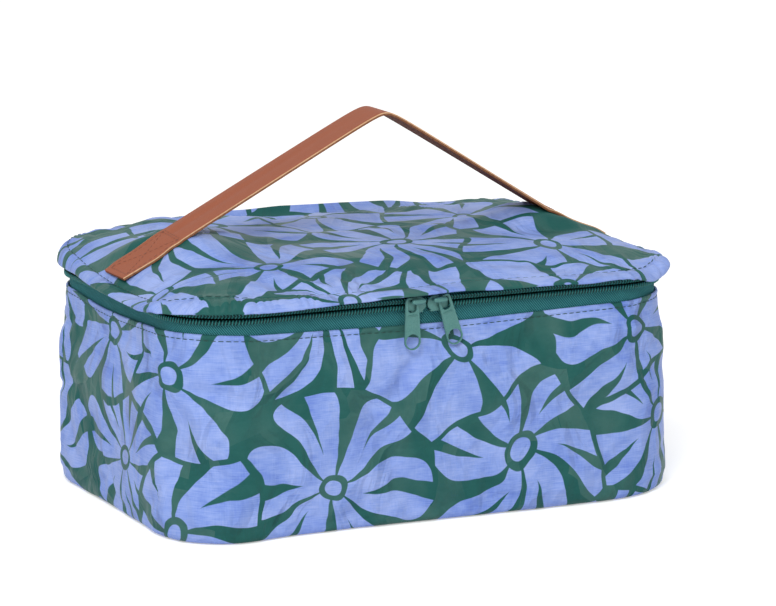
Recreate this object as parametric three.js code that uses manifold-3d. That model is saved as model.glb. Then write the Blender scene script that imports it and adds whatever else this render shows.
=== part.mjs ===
// A soft zipped toiletry bag: a rounded box of coated cloth over foam, with a lid that is zipped on
// three sides and hinged at the back, and a strap handle sewn across the lid.
// Millimetres, +Z up, front towards -Y, origin on the table under the middle of the bag.
import * as THREE from "three";
import Module from "manifold-3d";

const wasm = await Module();
wasm.setup();

// Body, measured outside at the folded top edge (the hem)
const BODY_LENGTH = 258;
const BODY_DEPTH = 176;
const CORNER_RADIUS = 36;
const HEM_HEIGHT = 95;
const WALL_BULGE = 2.4; // how far the walls stand out below the hem
const BASE_FLARE = 2; // how far they stand out at the base
const BASE_FOLD_RADIUS = 6;
const BASE_TURN_UNDER = 6; // flat of the wall cloth under the bag, from the fold to the base seam
const HEM_DEPTH = 9; // cloth folded down inside the top edge

// Cloth, padding and clearances
const CLOTH = 0.7;
const FOAM = 3;
const LINING = 0.5;
const BOARD = 1.5;
const BOARD_INSET = 7; // from the outside of the base to the edge of the stiffening board
const PLY_GAP = 0.3; // between plies that lie on each other
const SEAM_GAP = 0.3; // between the two edges of a seam

// Zip
const TAPE = 0.6;
const TAPE_SHOWN = 6.05; // lower tape that shows between the hem and the coil
const UPPER_TAPE_SHOWN = 5.65; // upper tape between its coil and the front of the lid
const TAPE_TURN_IN = 4; // upper tape that lies flat under the lid
const COIL_WIDTH = 2.2; // one row, across the chain
const COIL_THICKNESS = 2.2;
const CHAIN_GAP = 0.9; // between the two rows
const COIL_OVERLAP = 0.4; // how far a coil row reaches past the edge of its tape

// Lid
const STITCH_INSET = 1; // from the wall's outside to the stitch line round the lid
const FLAP_WIDTH = 8.5; // rain flap, outwards from the stitch line
const FLAP_DROP = 3; // how far the flap hangs at the front and sides
const REAR_FLAP_LIFT = 3; // how far it stands up at the back
const SIDE_DIP = 3.4; // how far the lid's edge sags half way back
const REAR_RISE = 3.5; // how much higher the back edge is than the front
const CROWN = 9.5; // height of the lid's dome over its edge
const TENT = 8; // extra height where the handle pulls the lid up
const TENT_LENGTH = 24;
const TENT_WIDTH = 26;
const LID_PAD_INSET = 8; // from the stitch line to the edge of the lid's foam

// Handle
const STRAP_WIDTH = 24;
const STRAP_THICKNESS = 2;
const STRAP_END_INSET = 2.5; // from the stitch line to the end of the strap
const STRAP_SEAT_GAP = 0.5;
const SEWN_LENGTH = 29; // strap sewn down on the lid at each end
const HANDLE_RISE = 66.5; // from the lid's edge to the top of the handle
const HANDLE_PEAK_X = 7;
const HANDLE_PEAK_ROUNDING = 8;
const HANDLE_FLEX_REACH = 14.5; // from the sewn end to where the strap bends when it is tipped
const HANDLE_CUT = 0.3;

// Sliders and pull tabs
const SLIDER_LENGTH = 10.4;
const SLIDER_NOSE_HEIGHT = 7.6;
const SLIDER_TAIL_HEIGHT = 6;
const SLIDER_PLATE = 1.2;
const SLIDER_CLEARANCE = 0.3; // from the coil and tape to the inside of the slider
const SLIDER_WEB = 0.5;
const SLIDER_WEB_LENGTH = 3;
const SLIDER_LIP_OFF_COIL = 0.3;
const SLIDER_LIP = 0.7;
const SLIDER_SPACING = 11.1;
const SLIDER_PAIR_X = -8.75; // middle of the two sliders
const BAIL_REACH = 2.7; // from the slider's middle to each leg
const BAIL_RADIUS = 0.6;
const BAIL_BAR_RADIUS = 0.9;
const BAIL_RISE = 1.6; // above the middle of the chain
const PULL_CLEARANCE = 0.4;
const PULL_THICKNESS = 1.2;
const PULL_LENGTH = 24.7;
const PULL_TOP_WIDTH = 6.6;
const PULL_BOTTOM_WIDTH = 8;
const PULL_RIM = 1.1; // metal round the eye and the finger hole
const PULL_EYE_HEIGHT = 4.6;
const LEFT_PULL_LEAN = 1; // degrees, lower end towards +X
const RIGHT_PULL_LEAN = 17;

// How finely curves are cut
const CORNER_STEPS = 6;
const FOLD_STEPS = 4;
const LONG_SIDE_STEPS = 8;
const SHORT_SIDE_STEPS = 5;
const ROUND_STEPS = 16;

const COLOURS = {
  print: [0x8397dc, 0.5],
  tape: [0x23655f, 0.85],
  metal: [0x6a9c93, 0.45],
  strap: [0xa66852, 0.6],
  foam: [0xe6e4dc, 0.95],
  lining: [0x2c6a5e, 0.8],
  board: [0x3a3c40, 0.7],
};

// Heights and offsets that follow from the sizes above. An offset is outwards from the hem's outside.
const halfLength = BODY_LENGTH / 2;
const halfDepth = BODY_DEPTH / 2;
const seamX = halfLength - CORNER_RADIUS; // side seams, where the back corners end
const lowerCoilBottom = HEM_HEIGHT + TAPE_SHOWN;
const lowerCoilTop = lowerCoilBottom + COIL_WIDTH;
const chainHeight = lowerCoilTop + CHAIN_GAP / 2;
const upperCoilBottom = chainHeight + CHAIN_GAP / 2;
const upperCoilTop = upperCoilBottom + COIL_WIDTH;
const frontEdgeHeight = upperCoilTop + UPPER_TAPE_SHOWN;
const hemBottom = HEM_HEIGHT - HEM_DEPTH;
const tapeOutside = -(2 * CLOTH + PLY_GAP);
const tapeInside = tapeOutside - TAPE;
const coilInside = tapeOutside + 0.2 * TAPE;
const coilOutside = coilInside + COIL_THICKNESS;
const foamOutside = CLOTH + PLY_GAP; // depths, inwards from the wall's outside
const foamInside = foamOutside + FOAM;
const liningOutside = foamInside + PLY_GAP;
const liningInside = liningOutside + LINING;
const boardBottom = CLOTH + PLY_GAP;
const floorBottom = boardBottom + BOARD + PLY_GAP;
const strapEndX = halfLength - STITCH_INSET - STRAP_END_INSET;
const sewnEndX = strapEndX - SEWN_LENGTH; // also where the handle pulls the lid up
const handleFlexX = sewnEndX - HANDLE_FLEX_REACH;

function smoothStep(t) {
  const c = Math.min(1, Math.max(0, t));
  return c * c * (3 - 2 * c);
}

// Plan outline of the bag, anticlockwise seen from above, starting at the back left side seam.
// Each point carries its outward direction.
function outline() {
  const points = [];
  const straight = (x0, y0, x1, y1, nx, ny, steps) => {
    for (let i = 1; i < steps; i++) {
      const t = i / steps;
      points.push({ x: x0 + (x1 - x0) * t, y: y0 + (y1 - y0) * t, nx, ny });
    }
  };
  const corner = (cx, cy, startAngle) => {
    for (let i = 0; i <= CORNER_STEPS; i++) {
      const a = startAngle + (i / CORNER_STEPS) * (Math.PI / 2);
      const nx = Math.cos(a);
      const ny = Math.sin(a);
      points.push({ x: cx + CORNER_RADIUS * nx, y: cy + CORNER_RADIUS * ny, nx, ny });
    }
  };
  const sx = seamX;
  const sy = halfDepth - CORNER_RADIUS;
  corner(-sx, sy, Math.PI / 2);
  straight(-halfLength, sy, -halfLength, -sy, -1, 0, SHORT_SIDE_STEPS);
  corner(-sx, -sy, Math.PI);
  straight(-sx, -halfDepth, sx, -halfDepth, 0, -1, LONG_SIDE_STEPS);
  corner(sx, -sy, 1.5 * Math.PI);
  straight(halfLength, -sy, halfLength, sy, 1, 0, SHORT_SIDE_STEPS);
  corner(sx, sy, 0);
  const aroundFront = points.slice();
  straight(sx, halfDepth, -sx, halfDepth, 0, 1, LONG_SIDE_STEPS);
  return { closed: points, aroundFront };
}
const { closed: wholeOutline, aroundFront } = outline();
const acrossBack = [
  { x: seamX - SEAM_GAP, y: halfDepth, nx: 0, ny: 1 },
  { x: -seamX + SEAM_GAP, y: halfDepth, nx: 0, ny: 1 },
];

// A closed surface from vertices and triangles, turned to face outwards.
function surface(vertices, triangles) {
  let volume = 0;
  const a = new THREE.Vector3();
  const b = new THREE.Vector3();
  const c = new THREE.Vector3();
  for (const [i, j, k] of triangles) {
    a.fromArray(vertices[i]);
    b.fromArray(vertices[j]);
    c.fromArray(vertices[k]);
    volume += a.dot(b.cross(c));
  }
  const index = triangles.flatMap(([i, j, k]) => (volume < 0 ? [i, k, j] : [i, j, k]));
  const geometry = new THREE.BufferGeometry();
  geometry.setAttribute("position", new THREE.Float32BufferAttribute(vertices.flat(), 3));
  geometry.setIndex(index);
  geometry.computeVertexNormals();
  return geometry;
}

// Sweeps a profile of [offset, height] corners along a plan path; the profile may change on the way.
function sweep(path, profileAt, isClosed) {
  const vertices = [];
  const triangles = [];
  const first = profileAt(path[0]);
  const n = first.length;
  for (const p of path) {
    for (const [offset, z] of profileAt(p)) {
      vertices.push([p.x + p.nx * offset, p.y + p.ny * offset, z]);
    }
  }
  const last = isClosed ? path.length : path.length - 1;
  for (let i = 0; i < last; i++) {
    const here = i * n;
    const next = ((i + 1) % path.length) * n;
    for (let j = 0; j < n; j++) {
      const k = (j + 1) % n;
      triangles.push([here + j, next + j, next + k], [here + j, next + k, here + k]);
    }
  }
  if (!isClosed) {
    const shape = first.map(([offset, z]) => new THREE.Vector2(offset, z));
    const start = THREE.ShapeUtils.isClockWise(shape) ? (path.length - 1) * n : 0;
    const end = (path.length - 1) * n - start;
    for (const [i, j, k] of THREE.ShapeUtils.triangulateShape(shape, [])) {
      triangles.push([start + i, start + j, start + k], [end + i, end + k, end + j]);
    }
  }
  return surface(vertices, triangles);
}

// The wall's outside from the hem down and under, as [offset, height] points.
function wallLine() {
  const line = [
    [0, HEM_HEIGHT],
    [0, hemBottom - PLY_GAP],
    [0.75 * WALL_BULGE, 0.66 * HEM_HEIGHT],
    [WALL_BULGE, 0.36 * HEM_HEIGHT],
    [0.5 * (WALL_BULGE + BASE_FLARE), 0.16 * HEM_HEIGHT],
  ];
  for (let i = 0; i <= FOLD_STEPS; i++) {
    const a = (i / FOLD_STEPS) * (Math.PI / 2);
    line.push([
      BASE_FLARE - BASE_FOLD_RADIUS * (1 - Math.cos(a)),
      BASE_FOLD_RADIUS * (1 - Math.sin(a)),
    ]);
  }
  line.push([BASE_FLARE - BASE_FOLD_RADIUS - BASE_TURN_UNDER, 0]);
  return line;
}

// A line of the profile moved inwards by a depth, square to its own direction.
function inwards(line, depth) {
  return line.map(([offset, z], i) => {
    const before = line[Math.max(0, i - 1)];
    const after = line[Math.min(line.length - 1, i + 1)];
    const u = new THREE.Vector2(offset - before[0], z - before[1]);
    const v = new THREE.Vector2(after[0] - offset, after[1] - z);
    if (i === 0) u.copy(v);
    if (i === line.length - 1) v.copy(u);
    u.normalize();
    v.normalize();
    const mean = u.clone().add(v).normalize();
    const reach = depth / Math.max(0.5, mean.dot(u));
    return [offset + mean.y * reach, z - mean.x * reach];
  });
}

const wall = wallLine();
const foldStart = wall.length - FOLD_STEPS - 2; // the point where the wall starts to turn under

// Outer cloth of a wall: one ply down and under, and a second ply folded down inside the top edge.
function clothProfile() {
  const inner = inwards(wall, CLOTH).slice(1);
  inner[0] = [-CLOTH, hemBottom - PLY_GAP];
  const fold = [
    [-CLOTH, hemBottom],
    [-2 * CLOTH, hemBottom],
    [-2 * CLOTH, HEM_HEIGHT],
  ];
  return [...wall, ...inner.reverse(), ...fold];
}

function foamProfile() {
  const body = wall.slice(1, foldStart + 1);
  const outer = inwards(body, foamOutside);
  const inner = inwards(body, foamInside);
  return [...outer, ...inner.reverse()];
}

function liningProfile() {
  const body = wall.slice(1, foldStart + 1);
  const outer = inwards(body, liningOutside);
  const inner = inwards(body, liningInside);
  const top = tapeInside - PLY_GAP;
  const last = outer.length - 1;
  outer.push([outer[last][0], floorBottom]);
  inner.push([inner[last][0], floorBottom]);
  return [
    [top, HEM_HEIGHT - PLY_GAP],
    [top, hemBottom + FOAM],
    ...outer,
    ...inner.reverse(),
    [top - LINING, hemBottom + FOAM],
    [top - LINING, HEM_HEIGHT - PLY_GAP],
  ];
}

// A flat plate inside the outline, at an offset from the hem's outside.
function plate(offset, bottom, thickness) {
  const shape = new THREE.Shape(
    wholeOutline.map((p) => new THREE.Vector2(p.x + p.nx * offset, p.y + p.ny * offset)),
  );
  const geometry = new THREE.ExtrudeGeometry(shape, { depth: thickness, bevelEnabled: false });
  return geometry.translate(0, 0, bottom);
}

// Height of the lid's edge at the stitch line, from front to back.
function edgeHeight(y) {
  const s = y / halfDepth;
  const slope = REAR_RISE / 2;
  const middle = frontEdgeHeight - SIDE_DIP;
  const bow = SIDE_DIP + slope;
  return middle + slope * s + bow * s * s;
}

// Top of the lid: a shallow dome, tented where the handle is sewn on.
function lidTop(x, y) {
  const u = Math.abs(x) / (halfLength - STITCH_INSET);
  const v = Math.abs(y) / (halfDepth - STITCH_INSET);
  const dome = CROWN * (1 - u ** 6) * (1 - v ** 3);
  const along = Math.exp(-(((Math.abs(x) - sewnEndX) / TENT_LENGTH) ** 2));
  const across = Math.exp(-((y / TENT_WIDTH) ** 4));
  return edgeHeight(y) + dome + TENT * along * across * (1 - u ** 8);
}

// The point of the lid's stitch line that belongs to an outline point, and its height.
function stitchPoint(p) {
  const x = p.x - p.nx * STITCH_INSET;
  const y = p.y - p.ny * STITCH_INSET;
  return { x, y, z: lidTop(x, y) };
}

function flapDrop(y) {
  return FLAP_DROP - (FLAP_DROP + REAR_FLAP_LIFT) * smoothStep((y / halfDepth - 0.3) / 0.6);
}

// A sheet that follows the lid's dome between two depths under its top. Its rings lie at shares of
// the stitch line; rim rings outside them are given by offset and height over the stitch line.
function domedSheet(topDepth, bottomDepth, shares, topRim, bottomRim) {
  const vertices = [];
  const triangles = [];
  const n = wholeOutline.length;
  const ring = (pointAt) => {
    const start = vertices.length;
    wholeOutline.forEach((p) => vertices.push(pointAt(p)));
    return start;
  };
  const rimRing = (rimAt) =>
    ring((p) => {
      const { offset, lift } = rimAt(p);
      return [p.x + p.nx * offset, p.y + p.ny * offset, stitchPoint(p).z + lift];
    });
  const domeRing = (share, depth) =>
    ring((p) => {
      const s = stitchPoint(p);
      return [s.x * share, s.y * share, lidTop(s.x * share, s.y * share) - depth];
    });
  const face = (i, j, k, isUp) => triangles.push(isUp ? [i, j, k] : [j, i, k]);
  const band = (a, b, isUp) => {
    for (let i = 0; i < n; i++) {
      const k = (i + 1) % n;
      face(a + i, a + k, b + k, isUp);
      face(a + i, b + k, b + i, isUp);
    }
  };
  const side = (rim, depth, isUp) => {
    const rings = [...rim.map(rimRing), ...shares.map((share) => domeRing(share, depth))];
    for (let i = 0; i + 1 < rings.length; i++) band(rings[i], rings[i + 1], isUp);
    const middle = vertices.length;
    const innermost = rings[rings.length - 1];
    vertices.push([0, 0, lidTop(0, 0) - depth]);
    for (let i = 0; i < n; i++) face(innermost + i, innermost + ((i + 1) % n), middle, isUp);
    return rings[0];
  };
  const topEdge = side(topRim, topDepth, true);
  const bottomEdge = side(bottomRim, bottomDepth, false);
  band(bottomEdge, topEdge, true);
  return surface(vertices, triangles);
}

// The lid's foam and lining end inside the stitch line; the cloth over them shares their rings.
const padShare = 1 - LID_PAD_INSET / (halfDepth - STITCH_INSET);
const padShares = [1, 0.91, 0.83, 0.74, 0.62, 0.44, 0.22].map((share) => share * padShare);

function lidPanel() {
  const flapOffset = FLAP_WIDTH - STITCH_INSET;
  const doubled = 2 * CLOTH;
  const top = [
    (p) => ({ offset: flapOffset, lift: -flapDrop(p.y) }),
    () => ({ offset: -STITCH_INSET, lift: 0 }),
  ];
  const bottom = [
    (p) => ({ offset: flapOffset, lift: -flapDrop(p.y) - doubled }),
    () => ({ offset: -STITCH_INSET - PLY_GAP, lift: -doubled }),
  ];
  return domedSheet(0, CLOTH, [(1 + padShare) / 2, ...padShares], top, bottom);
}

function lidFoam() {
  const top = CLOTH + PLY_GAP;
  return domedSheet(top, top + FOAM, padShares, [], []);
}

function lidLining() {
  const top = CLOTH + PLY_GAP + FOAM + PLY_GAP;
  return domedSheet(top, top + LINING, padShares, [], []);
}

// Lower tape, or the lower half of the cloth hinge: it stands up from behind the hem.
function lowerStripProfile(thickness, top) {
  return [
    [tapeOutside, hemBottom],
    [tapeOutside, top],
    [tapeOutside - thickness, top],
    [tapeOutside - thickness, hemBottom],
  ];
}

// Upper tape, or the upper half of the hinge: it stands up and turns in flat under the lid.
function upperStripProfile(p, thickness, bottom) {
  const top = stitchPoint(p).z - 2 * CLOTH - PLY_GAP;
  const inside = tapeOutside - thickness;
  return [
    [tapeOutside, bottom],
    [tapeOutside, top],
    [inside - TAPE_TURN_IN, top],
    [inside - TAPE_TURN_IN, top - thickness],
    [inside, top - thickness],
    [inside, bottom],
  ];
}

// One row of the coil, a rounded bead.
function coilProfile(bottom) {
  const chamfer = 0.3 * COIL_WIDTH;
  return [
    [coilInside, bottom],
    [coilOutside - chamfer, bottom],
    [coilOutside, bottom + chamfer],
    [coilOutside, bottom + COIL_WIDTH - chamfer],
    [coilOutside - chamfer, bottom + COIL_WIDTH],
    [coilInside, bottom + COIL_WIDTH],
  ];
}

// A coil row lies on its tape, a ply gap off it.
function onTape(profile) {
  const lift = tapeOutside + PLY_GAP - coilInside;
  return profile.map(([offset, z]) => [offset + lift, z]);
}
const coilFace = coilOutside + tapeOutside + PLY_GAP - coilInside;

// Middle line of the strap, as a height over x: sewn to the lid at its ends, straight up to the peak.
const peakHeight = frontEdgeHeight + HANDLE_RISE;
function strapHeight(x) {
  const seat = (at) => lidTop(at, 0) + STRAP_SEAT_GAP + STRAP_THICKNESS / 2;
  if (Math.abs(x) >= sewnEndX) return seat(x);
  const apex = peakHeight + HANDLE_PEAK_ROUNDING / 2;
  const start = seat(sewnEndX);
  const left = start + ((apex - start) * (x + sewnEndX)) / (HANDLE_PEAK_X + sewnEndX);
  const right = start + ((apex - start) * (sewnEndX - x)) / (sewnEndX - HANDLE_PEAK_X);
  return 0.5 * (left + right - Math.hypot(left - right, HANDLE_PEAK_ROUNDING));
}

// A stretch of the strap between two places along x.
function strapBand(fromX, toX, places) {
  const xs = [fromX, ...places.filter((x) => x > fromX && x < toX), toX];
  const line = xs.map((x) => new THREE.Vector2(x, strapHeight(x)));
  const side = (sign) =>
    line.map((point, i) => {
      const before = line[Math.max(0, i - 1)];
      const after = line[Math.min(line.length - 1, i + 1)];
      const along = after.clone().sub(before).normalize();
      const isEnd = i === 0 || i === line.length - 1;
      const reach = (sign * STRAP_THICKNESS) / 2;
      // The ends are cut square to x, so that the pieces part cleanly where the strap flexes.
      if (isEnd) return new THREE.Vector2(point.x, point.y + reach / Math.max(0.5, along.x));
      return new THREE.Vector2(point.x - along.y * reach, point.y + along.x * reach);
    });
  const band = new THREE.Shape([...side(-1), ...side(1).reverse()]);
  const geometry = new THREE.ExtrudeGeometry(band, { depth: STRAP_WIDTH, bevelEnabled: false });
  return geometry.rotateX(Math.PI / 2).translate(0, STRAP_WIDTH / 2, 0);
}

const strapPlaces = [];
for (let i = 1; i < 6; i++) {
  strapPlaces.push(-strapEndX + (SEWN_LENGTH * i) / 5, strapEndX - (SEWN_LENGTH * i) / 5);
}
for (const share of [0.25, 0.5, 0.75]) {
  strapPlaces.push(HANDLE_PEAK_X - handleFlexX * share, HANDLE_PEAK_X + handleFlexX * share);
}
for (const step of [-12, -7, -3, 0, 3, 7, 12]) {
  strapPlaces.push(HANDLE_PEAK_X + (step * HANDLE_PEAK_ROUNDING) / 8);
}
strapPlaces.sort((a, b) => a - b);

// Joining and cutting
function toSolid(geometry) {
  const flat = geometry.index ? geometry.toNonIndexed() : geometry;
  const position = flat.getAttribute("position");
  const seen = new Map();
  const vertices = [];
  const triangles = [];
  for (let i = 0; i < position.count; i++) {
    const v = [position.getX(i), position.getY(i), position.getZ(i)];
    const key = v.map((value) => value.toFixed(4)).join(" ");
    if (!seen.has(key)) {
      seen.set(key, vertices.length / 3);
      vertices.push(...v);
    }
    triangles.push(seen.get(key));
  }
  const kept = [];
  for (let i = 0; i < triangles.length; i += 3) {
    const [a, b, c] = triangles.slice(i, i + 3);
    if (a !== b && b !== c && c !== a) kept.push(a, b, c);
  }
  return new wasm.Manifold(
    new wasm.Mesh({
      numProp: 3,
      vertProperties: new Float32Array(vertices),
      triVerts: new Uint32Array(kept),
    }),
  );
}

function toGeometry(solid) {
  const mesh = solid.getMesh();
  const geometry = new THREE.BufferGeometry();
  geometry.setAttribute("position", new THREE.BufferAttribute(mesh.vertProperties, 3));
  geometry.setIndex(new THREE.BufferAttribute(mesh.triVerts, 1));
  geometry.computeVertexNormals();
  return geometry;
}

// A flat outline in the plane of the zip, standing between two offsets outwards.
function standingPlate(shape, inside, outside) {
  const steps = { depth: outside - inside, bevelEnabled: false, curveSegments: ROUND_STEPS / 4 };
  const geometry = new THREE.ExtrudeGeometry(shape, steps);
  return geometry.rotateX(Math.PI / 2).translate(0, -inside, 0);
}

const plateInside = coilFace + SLIDER_CLEARANCE;
const plateOutside = plateInside + SLIDER_PLATE;
const backPlateOutside = tapeInside - SLIDER_CLEARANCE;
const pullInside = plateOutside + PULL_CLEARANCE;
const pullOutside = pullInside + PULL_THICKNESS;
const bailMiddle = pullOutside + PULL_CLEARANCE + BAIL_BAR_RADIUS;

// A slider on the chain, about the middle of the chain; its nose points along noseSide.
function slider(noseSide) {
  const half = SLIDER_LENGTH / 2;
  const nose = SLIDER_NOSE_HEIGHT / 2;
  const tail = SLIDER_TAIL_HEIGHT / 2;
  const shield = new THREE.Shape();
  shield.moveTo(noseSide * -half, -tail + 1);
  shield.lineTo(noseSide * (-half + 1), -tail);
  shield.lineTo(0, -tail);
  shield.quadraticCurveTo(noseSide * 0.35 * half, -nose, noseSide * 0.75 * half, -nose);
  shield.quadraticCurveTo(noseSide * half, -nose, noseSide * half, -0.4 * nose);
  shield.lineTo(noseSide * half, 0.4 * nose);
  shield.quadraticCurveTo(noseSide * half, nose, noseSide * 0.75 * half, nose);
  shield.quadraticCurveTo(noseSide * 0.35 * half, nose, 0, tail);
  shield.lineTo(noseSide * (-half + 1), tail);
  shield.lineTo(noseSide * -half, tail - 1);
  const front = toSolid(standingPlate(shield, plateInside, plateOutside));
  const back = toSolid(standingPlate(shield, backPlateOutside - SLIDER_PLATE, backPlateOutside));
  const overlap = 0.2; // how far joined pieces reach into each other
  const webDepth = plateInside - backPlateOutside + 2 * overlap;
  const web = new THREE.BoxGeometry(SLIDER_WEB_LENGTH, webDepth, SLIDER_WEB);
  web.translate(
    noseSide * (half - SLIDER_WEB_LENGTH / 2 - 0.6),
    -(plateInside + backPlateOutside) / 2,
    0,
  );
  const lipTop = -(CHAIN_GAP / 2 + COIL_WIDTH + SLIDER_LIP_OFF_COIL);
  const lipDepth = plateInside + overlap - (tapeOutside + SLIDER_CLEARANCE);
  const lip = new THREE.BoxGeometry(0.5 * SLIDER_LENGTH, lipDepth, SLIDER_LIP);
  lip.translate(
    noseSide * 0.2 * SLIDER_LENGTH,
    -(plateInside + overlap - lipDepth / 2),
    lipTop - SLIDER_LIP / 2,
  );
  const bar = new THREE.CapsuleGeometry(BAIL_BAR_RADIUS, 2 * BAIL_REACH, 3, 10);
  bar.rotateZ(Math.PI / 2).translate(0, -bailMiddle, BAIL_RISE);
  let made = front.add(back).add(toSolid(web)).add(toSolid(lip)).add(toSolid(bar));
  for (const side of [-1, 1]) {
    const length = bailMiddle - plateOutside + overlap;
    const leg = new THREE.CylinderGeometry(BAIL_RADIUS, BAIL_RADIUS, length, 10);
    leg.translate(side * BAIL_REACH, -(bailMiddle - length / 2), BAIL_RISE);
    made = made.add(toSolid(leg));
  }
  return toGeometry(made);
}

// A pull tab hanging from the middle of a bail leg, seen from the front, lower end along -Z.
function pullTab() {
  const topHalf = PULL_TOP_WIDTH / 2;
  const bottomHalf = PULL_BOTTOM_WIDTH / 2;
  const top = BAIL_RADIUS + PULL_CLEARANCE + PULL_RIM;
  const shoulder = top - 1.8;
  const bottom = top - PULL_LENGTH;
  const tab = new THREE.Shape();
  tab.moveTo(-topHalf, shoulder);
  tab.lineTo(-bottomHalf, bottom + bottomHalf);
  tab.absarc(0, bottom + bottomHalf, bottomHalf, Math.PI, 2 * Math.PI, false);
  tab.lineTo(topHalf, shoulder);
  tab.quadraticCurveTo(topHalf, top, 0.35 * topHalf, top);
  tab.lineTo(-0.35 * topHalf, top);
  tab.quadraticCurveTo(-topHalf, top, -topHalf, shoulder);
  const eye = new THREE.Path();
  const eyeHalf = topHalf - PULL_RIM;
  const eyeTop = BAIL_RADIUS + PULL_CLEARANCE;
  eye.moveTo(-eyeHalf, eyeTop - 0.7);
  eye.lineTo(-eyeHalf, eyeTop - PULL_EYE_HEIGHT);
  eye.lineTo(eyeHalf, eyeTop - PULL_EYE_HEIGHT);
  eye.lineTo(eyeHalf, eyeTop - 0.7);
  eye.lineTo(eyeHalf - 0.7, eyeTop);
  eye.lineTo(-eyeHalf + 0.7, eyeTop);
  const fingerHole = new THREE.Path();
  fingerHole.absarc(0, bottom + bottomHalf, bottomHalf - PULL_RIM, 0, 2 * Math.PI, true);
  tab.holes.push(eye, fingerHole);
  return standingPlate(tab, pullInside, pullOutside);
}

// Assembly
const bag = new THREE.Group();
function add(name, geometry, finish, parent = bag) {
  const [color, roughness] = COLOURS[finish];
  const material = new THREE.MeshStandardMaterial({ color, roughness, metalness: 0 });
  const mesh = new THREE.Mesh(geometry, material);
  mesh.name = name;
  parent.add(mesh);
  return mesh;
}
const same = (profile) => () => profile;

// Body
add("wall_panel", sweep(aroundFront, same(clothProfile()), false), "print");
add("back_panel", sweep(acrossBack, same(clothProfile()), false), "print");
add(
  "base_panel",
  plate(BASE_FLARE - BASE_FOLD_RADIUS - BASE_TURN_UNDER - SEAM_GAP, 0, CLOTH),
  "print",
);
add("wall_foam", sweep(wholeOutline, same(foamProfile()), true), "foam");
add("wall_lining", sweep(wholeOutline, same(liningProfile()), true), "lining");
add("base_board", plate(BASE_FLARE - BOARD_INSET, boardBottom, BOARD), "board");
add("floor_lining", plate(BASE_FLARE - liningInside - PLY_GAP, floorBottom, LINING), "lining");

// Zip, lower half, and the lower half of the hinge
const tapeEdge = CHAIN_GAP / 2 + COIL_OVERLAP;
const lowerTape = lowerStripProfile(TAPE, chainHeight - tapeEdge);
add("lower_zip_tape", sweep(aroundFront, same(lowerTape), false), "tape");
add(
  "lower_zip_coil",
  sweep(aroundFront, same(onTape(coilProfile(lowerCoilBottom))), false),
  "tape",
);
const lowerHinge = lowerStripProfile(CLOTH, chainHeight - SEAM_GAP);
add("lower_hinge", sweep(acrossBack, same(lowerHinge), false), "print");

// Lid
add("lid_panel", lidPanel(), "print");
add("lid_foam", lidFoam(), "foam");
add("lid_lining", lidLining(), "lining");
add(
  "upper_zip_tape",
  sweep(aroundFront, (p) => upperStripProfile(p, TAPE, chainHeight + tapeEdge), false),
  "tape",
);
add(
  "upper_zip_coil",
  sweep(aroundFront, same(onTape(coilProfile(upperCoilBottom))), false),
  "tape",
);
add(
  "upper_hinge",
  sweep(acrossBack, (p) => upperStripProfile(p, CLOTH, chainHeight + SEAM_GAP), false),
  "print",
);

// Handle
const sewnFrom = handleFlexX + HANDLE_CUT / 2;
const archTo = handleFlexX - HANDLE_CUT / 2;
add("handle_left_end", strapBand(-strapEndX, -sewnFrom, strapPlaces), "strap");
add("handle_right_end", strapBand(sewnFrom, strapEndX, strapPlaces), "strap");
add("handle_arch", strapBand(-archTo, archTo, strapPlaces), "strap");

// Sliders, nose to nose, each with its pull hanging on its outer bail leg
for (const [side, word, lean] of [
  [-1, "left", LEFT_PULL_LEAN],
  [1, "right", RIGHT_PULL_LEAN],
]) {
  const carriage = new THREE.Group();
  carriage.position.set(SLIDER_PAIR_X + (side * SLIDER_SPACING) / 2, -halfDepth, chainHeight);
  bag.add(carriage);
  add(`slider_${word}`, slider(-side), "metal", carriage);
  const pull = add(`pull_tab_${word}`, pullTab(), "metal", carriage);
  pull.position.set(side * BAIL_REACH, 0, BAIL_RISE);
  pull.rotation.y = -THREE.MathUtils.degToRad(lean);
}

export default bag;
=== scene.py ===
import math
from bisect import bisect

import bmesh
import bpy
from mathutils import Matrix, Vector, noise


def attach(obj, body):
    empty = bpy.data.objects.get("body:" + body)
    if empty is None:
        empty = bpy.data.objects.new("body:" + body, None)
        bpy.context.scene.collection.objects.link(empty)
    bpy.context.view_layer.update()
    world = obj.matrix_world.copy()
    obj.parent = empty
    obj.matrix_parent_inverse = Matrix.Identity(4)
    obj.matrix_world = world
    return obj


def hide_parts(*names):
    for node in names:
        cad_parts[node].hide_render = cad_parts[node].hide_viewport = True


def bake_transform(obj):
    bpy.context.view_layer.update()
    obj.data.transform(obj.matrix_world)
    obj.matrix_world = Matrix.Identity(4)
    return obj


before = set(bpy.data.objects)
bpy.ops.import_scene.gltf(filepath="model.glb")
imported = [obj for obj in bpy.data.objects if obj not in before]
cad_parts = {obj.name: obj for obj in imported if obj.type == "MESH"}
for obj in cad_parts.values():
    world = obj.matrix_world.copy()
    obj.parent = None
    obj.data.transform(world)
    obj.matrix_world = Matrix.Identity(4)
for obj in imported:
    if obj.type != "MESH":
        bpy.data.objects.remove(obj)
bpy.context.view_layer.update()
bpy.context.scene.view_settings.view_transform = "Standard"

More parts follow.
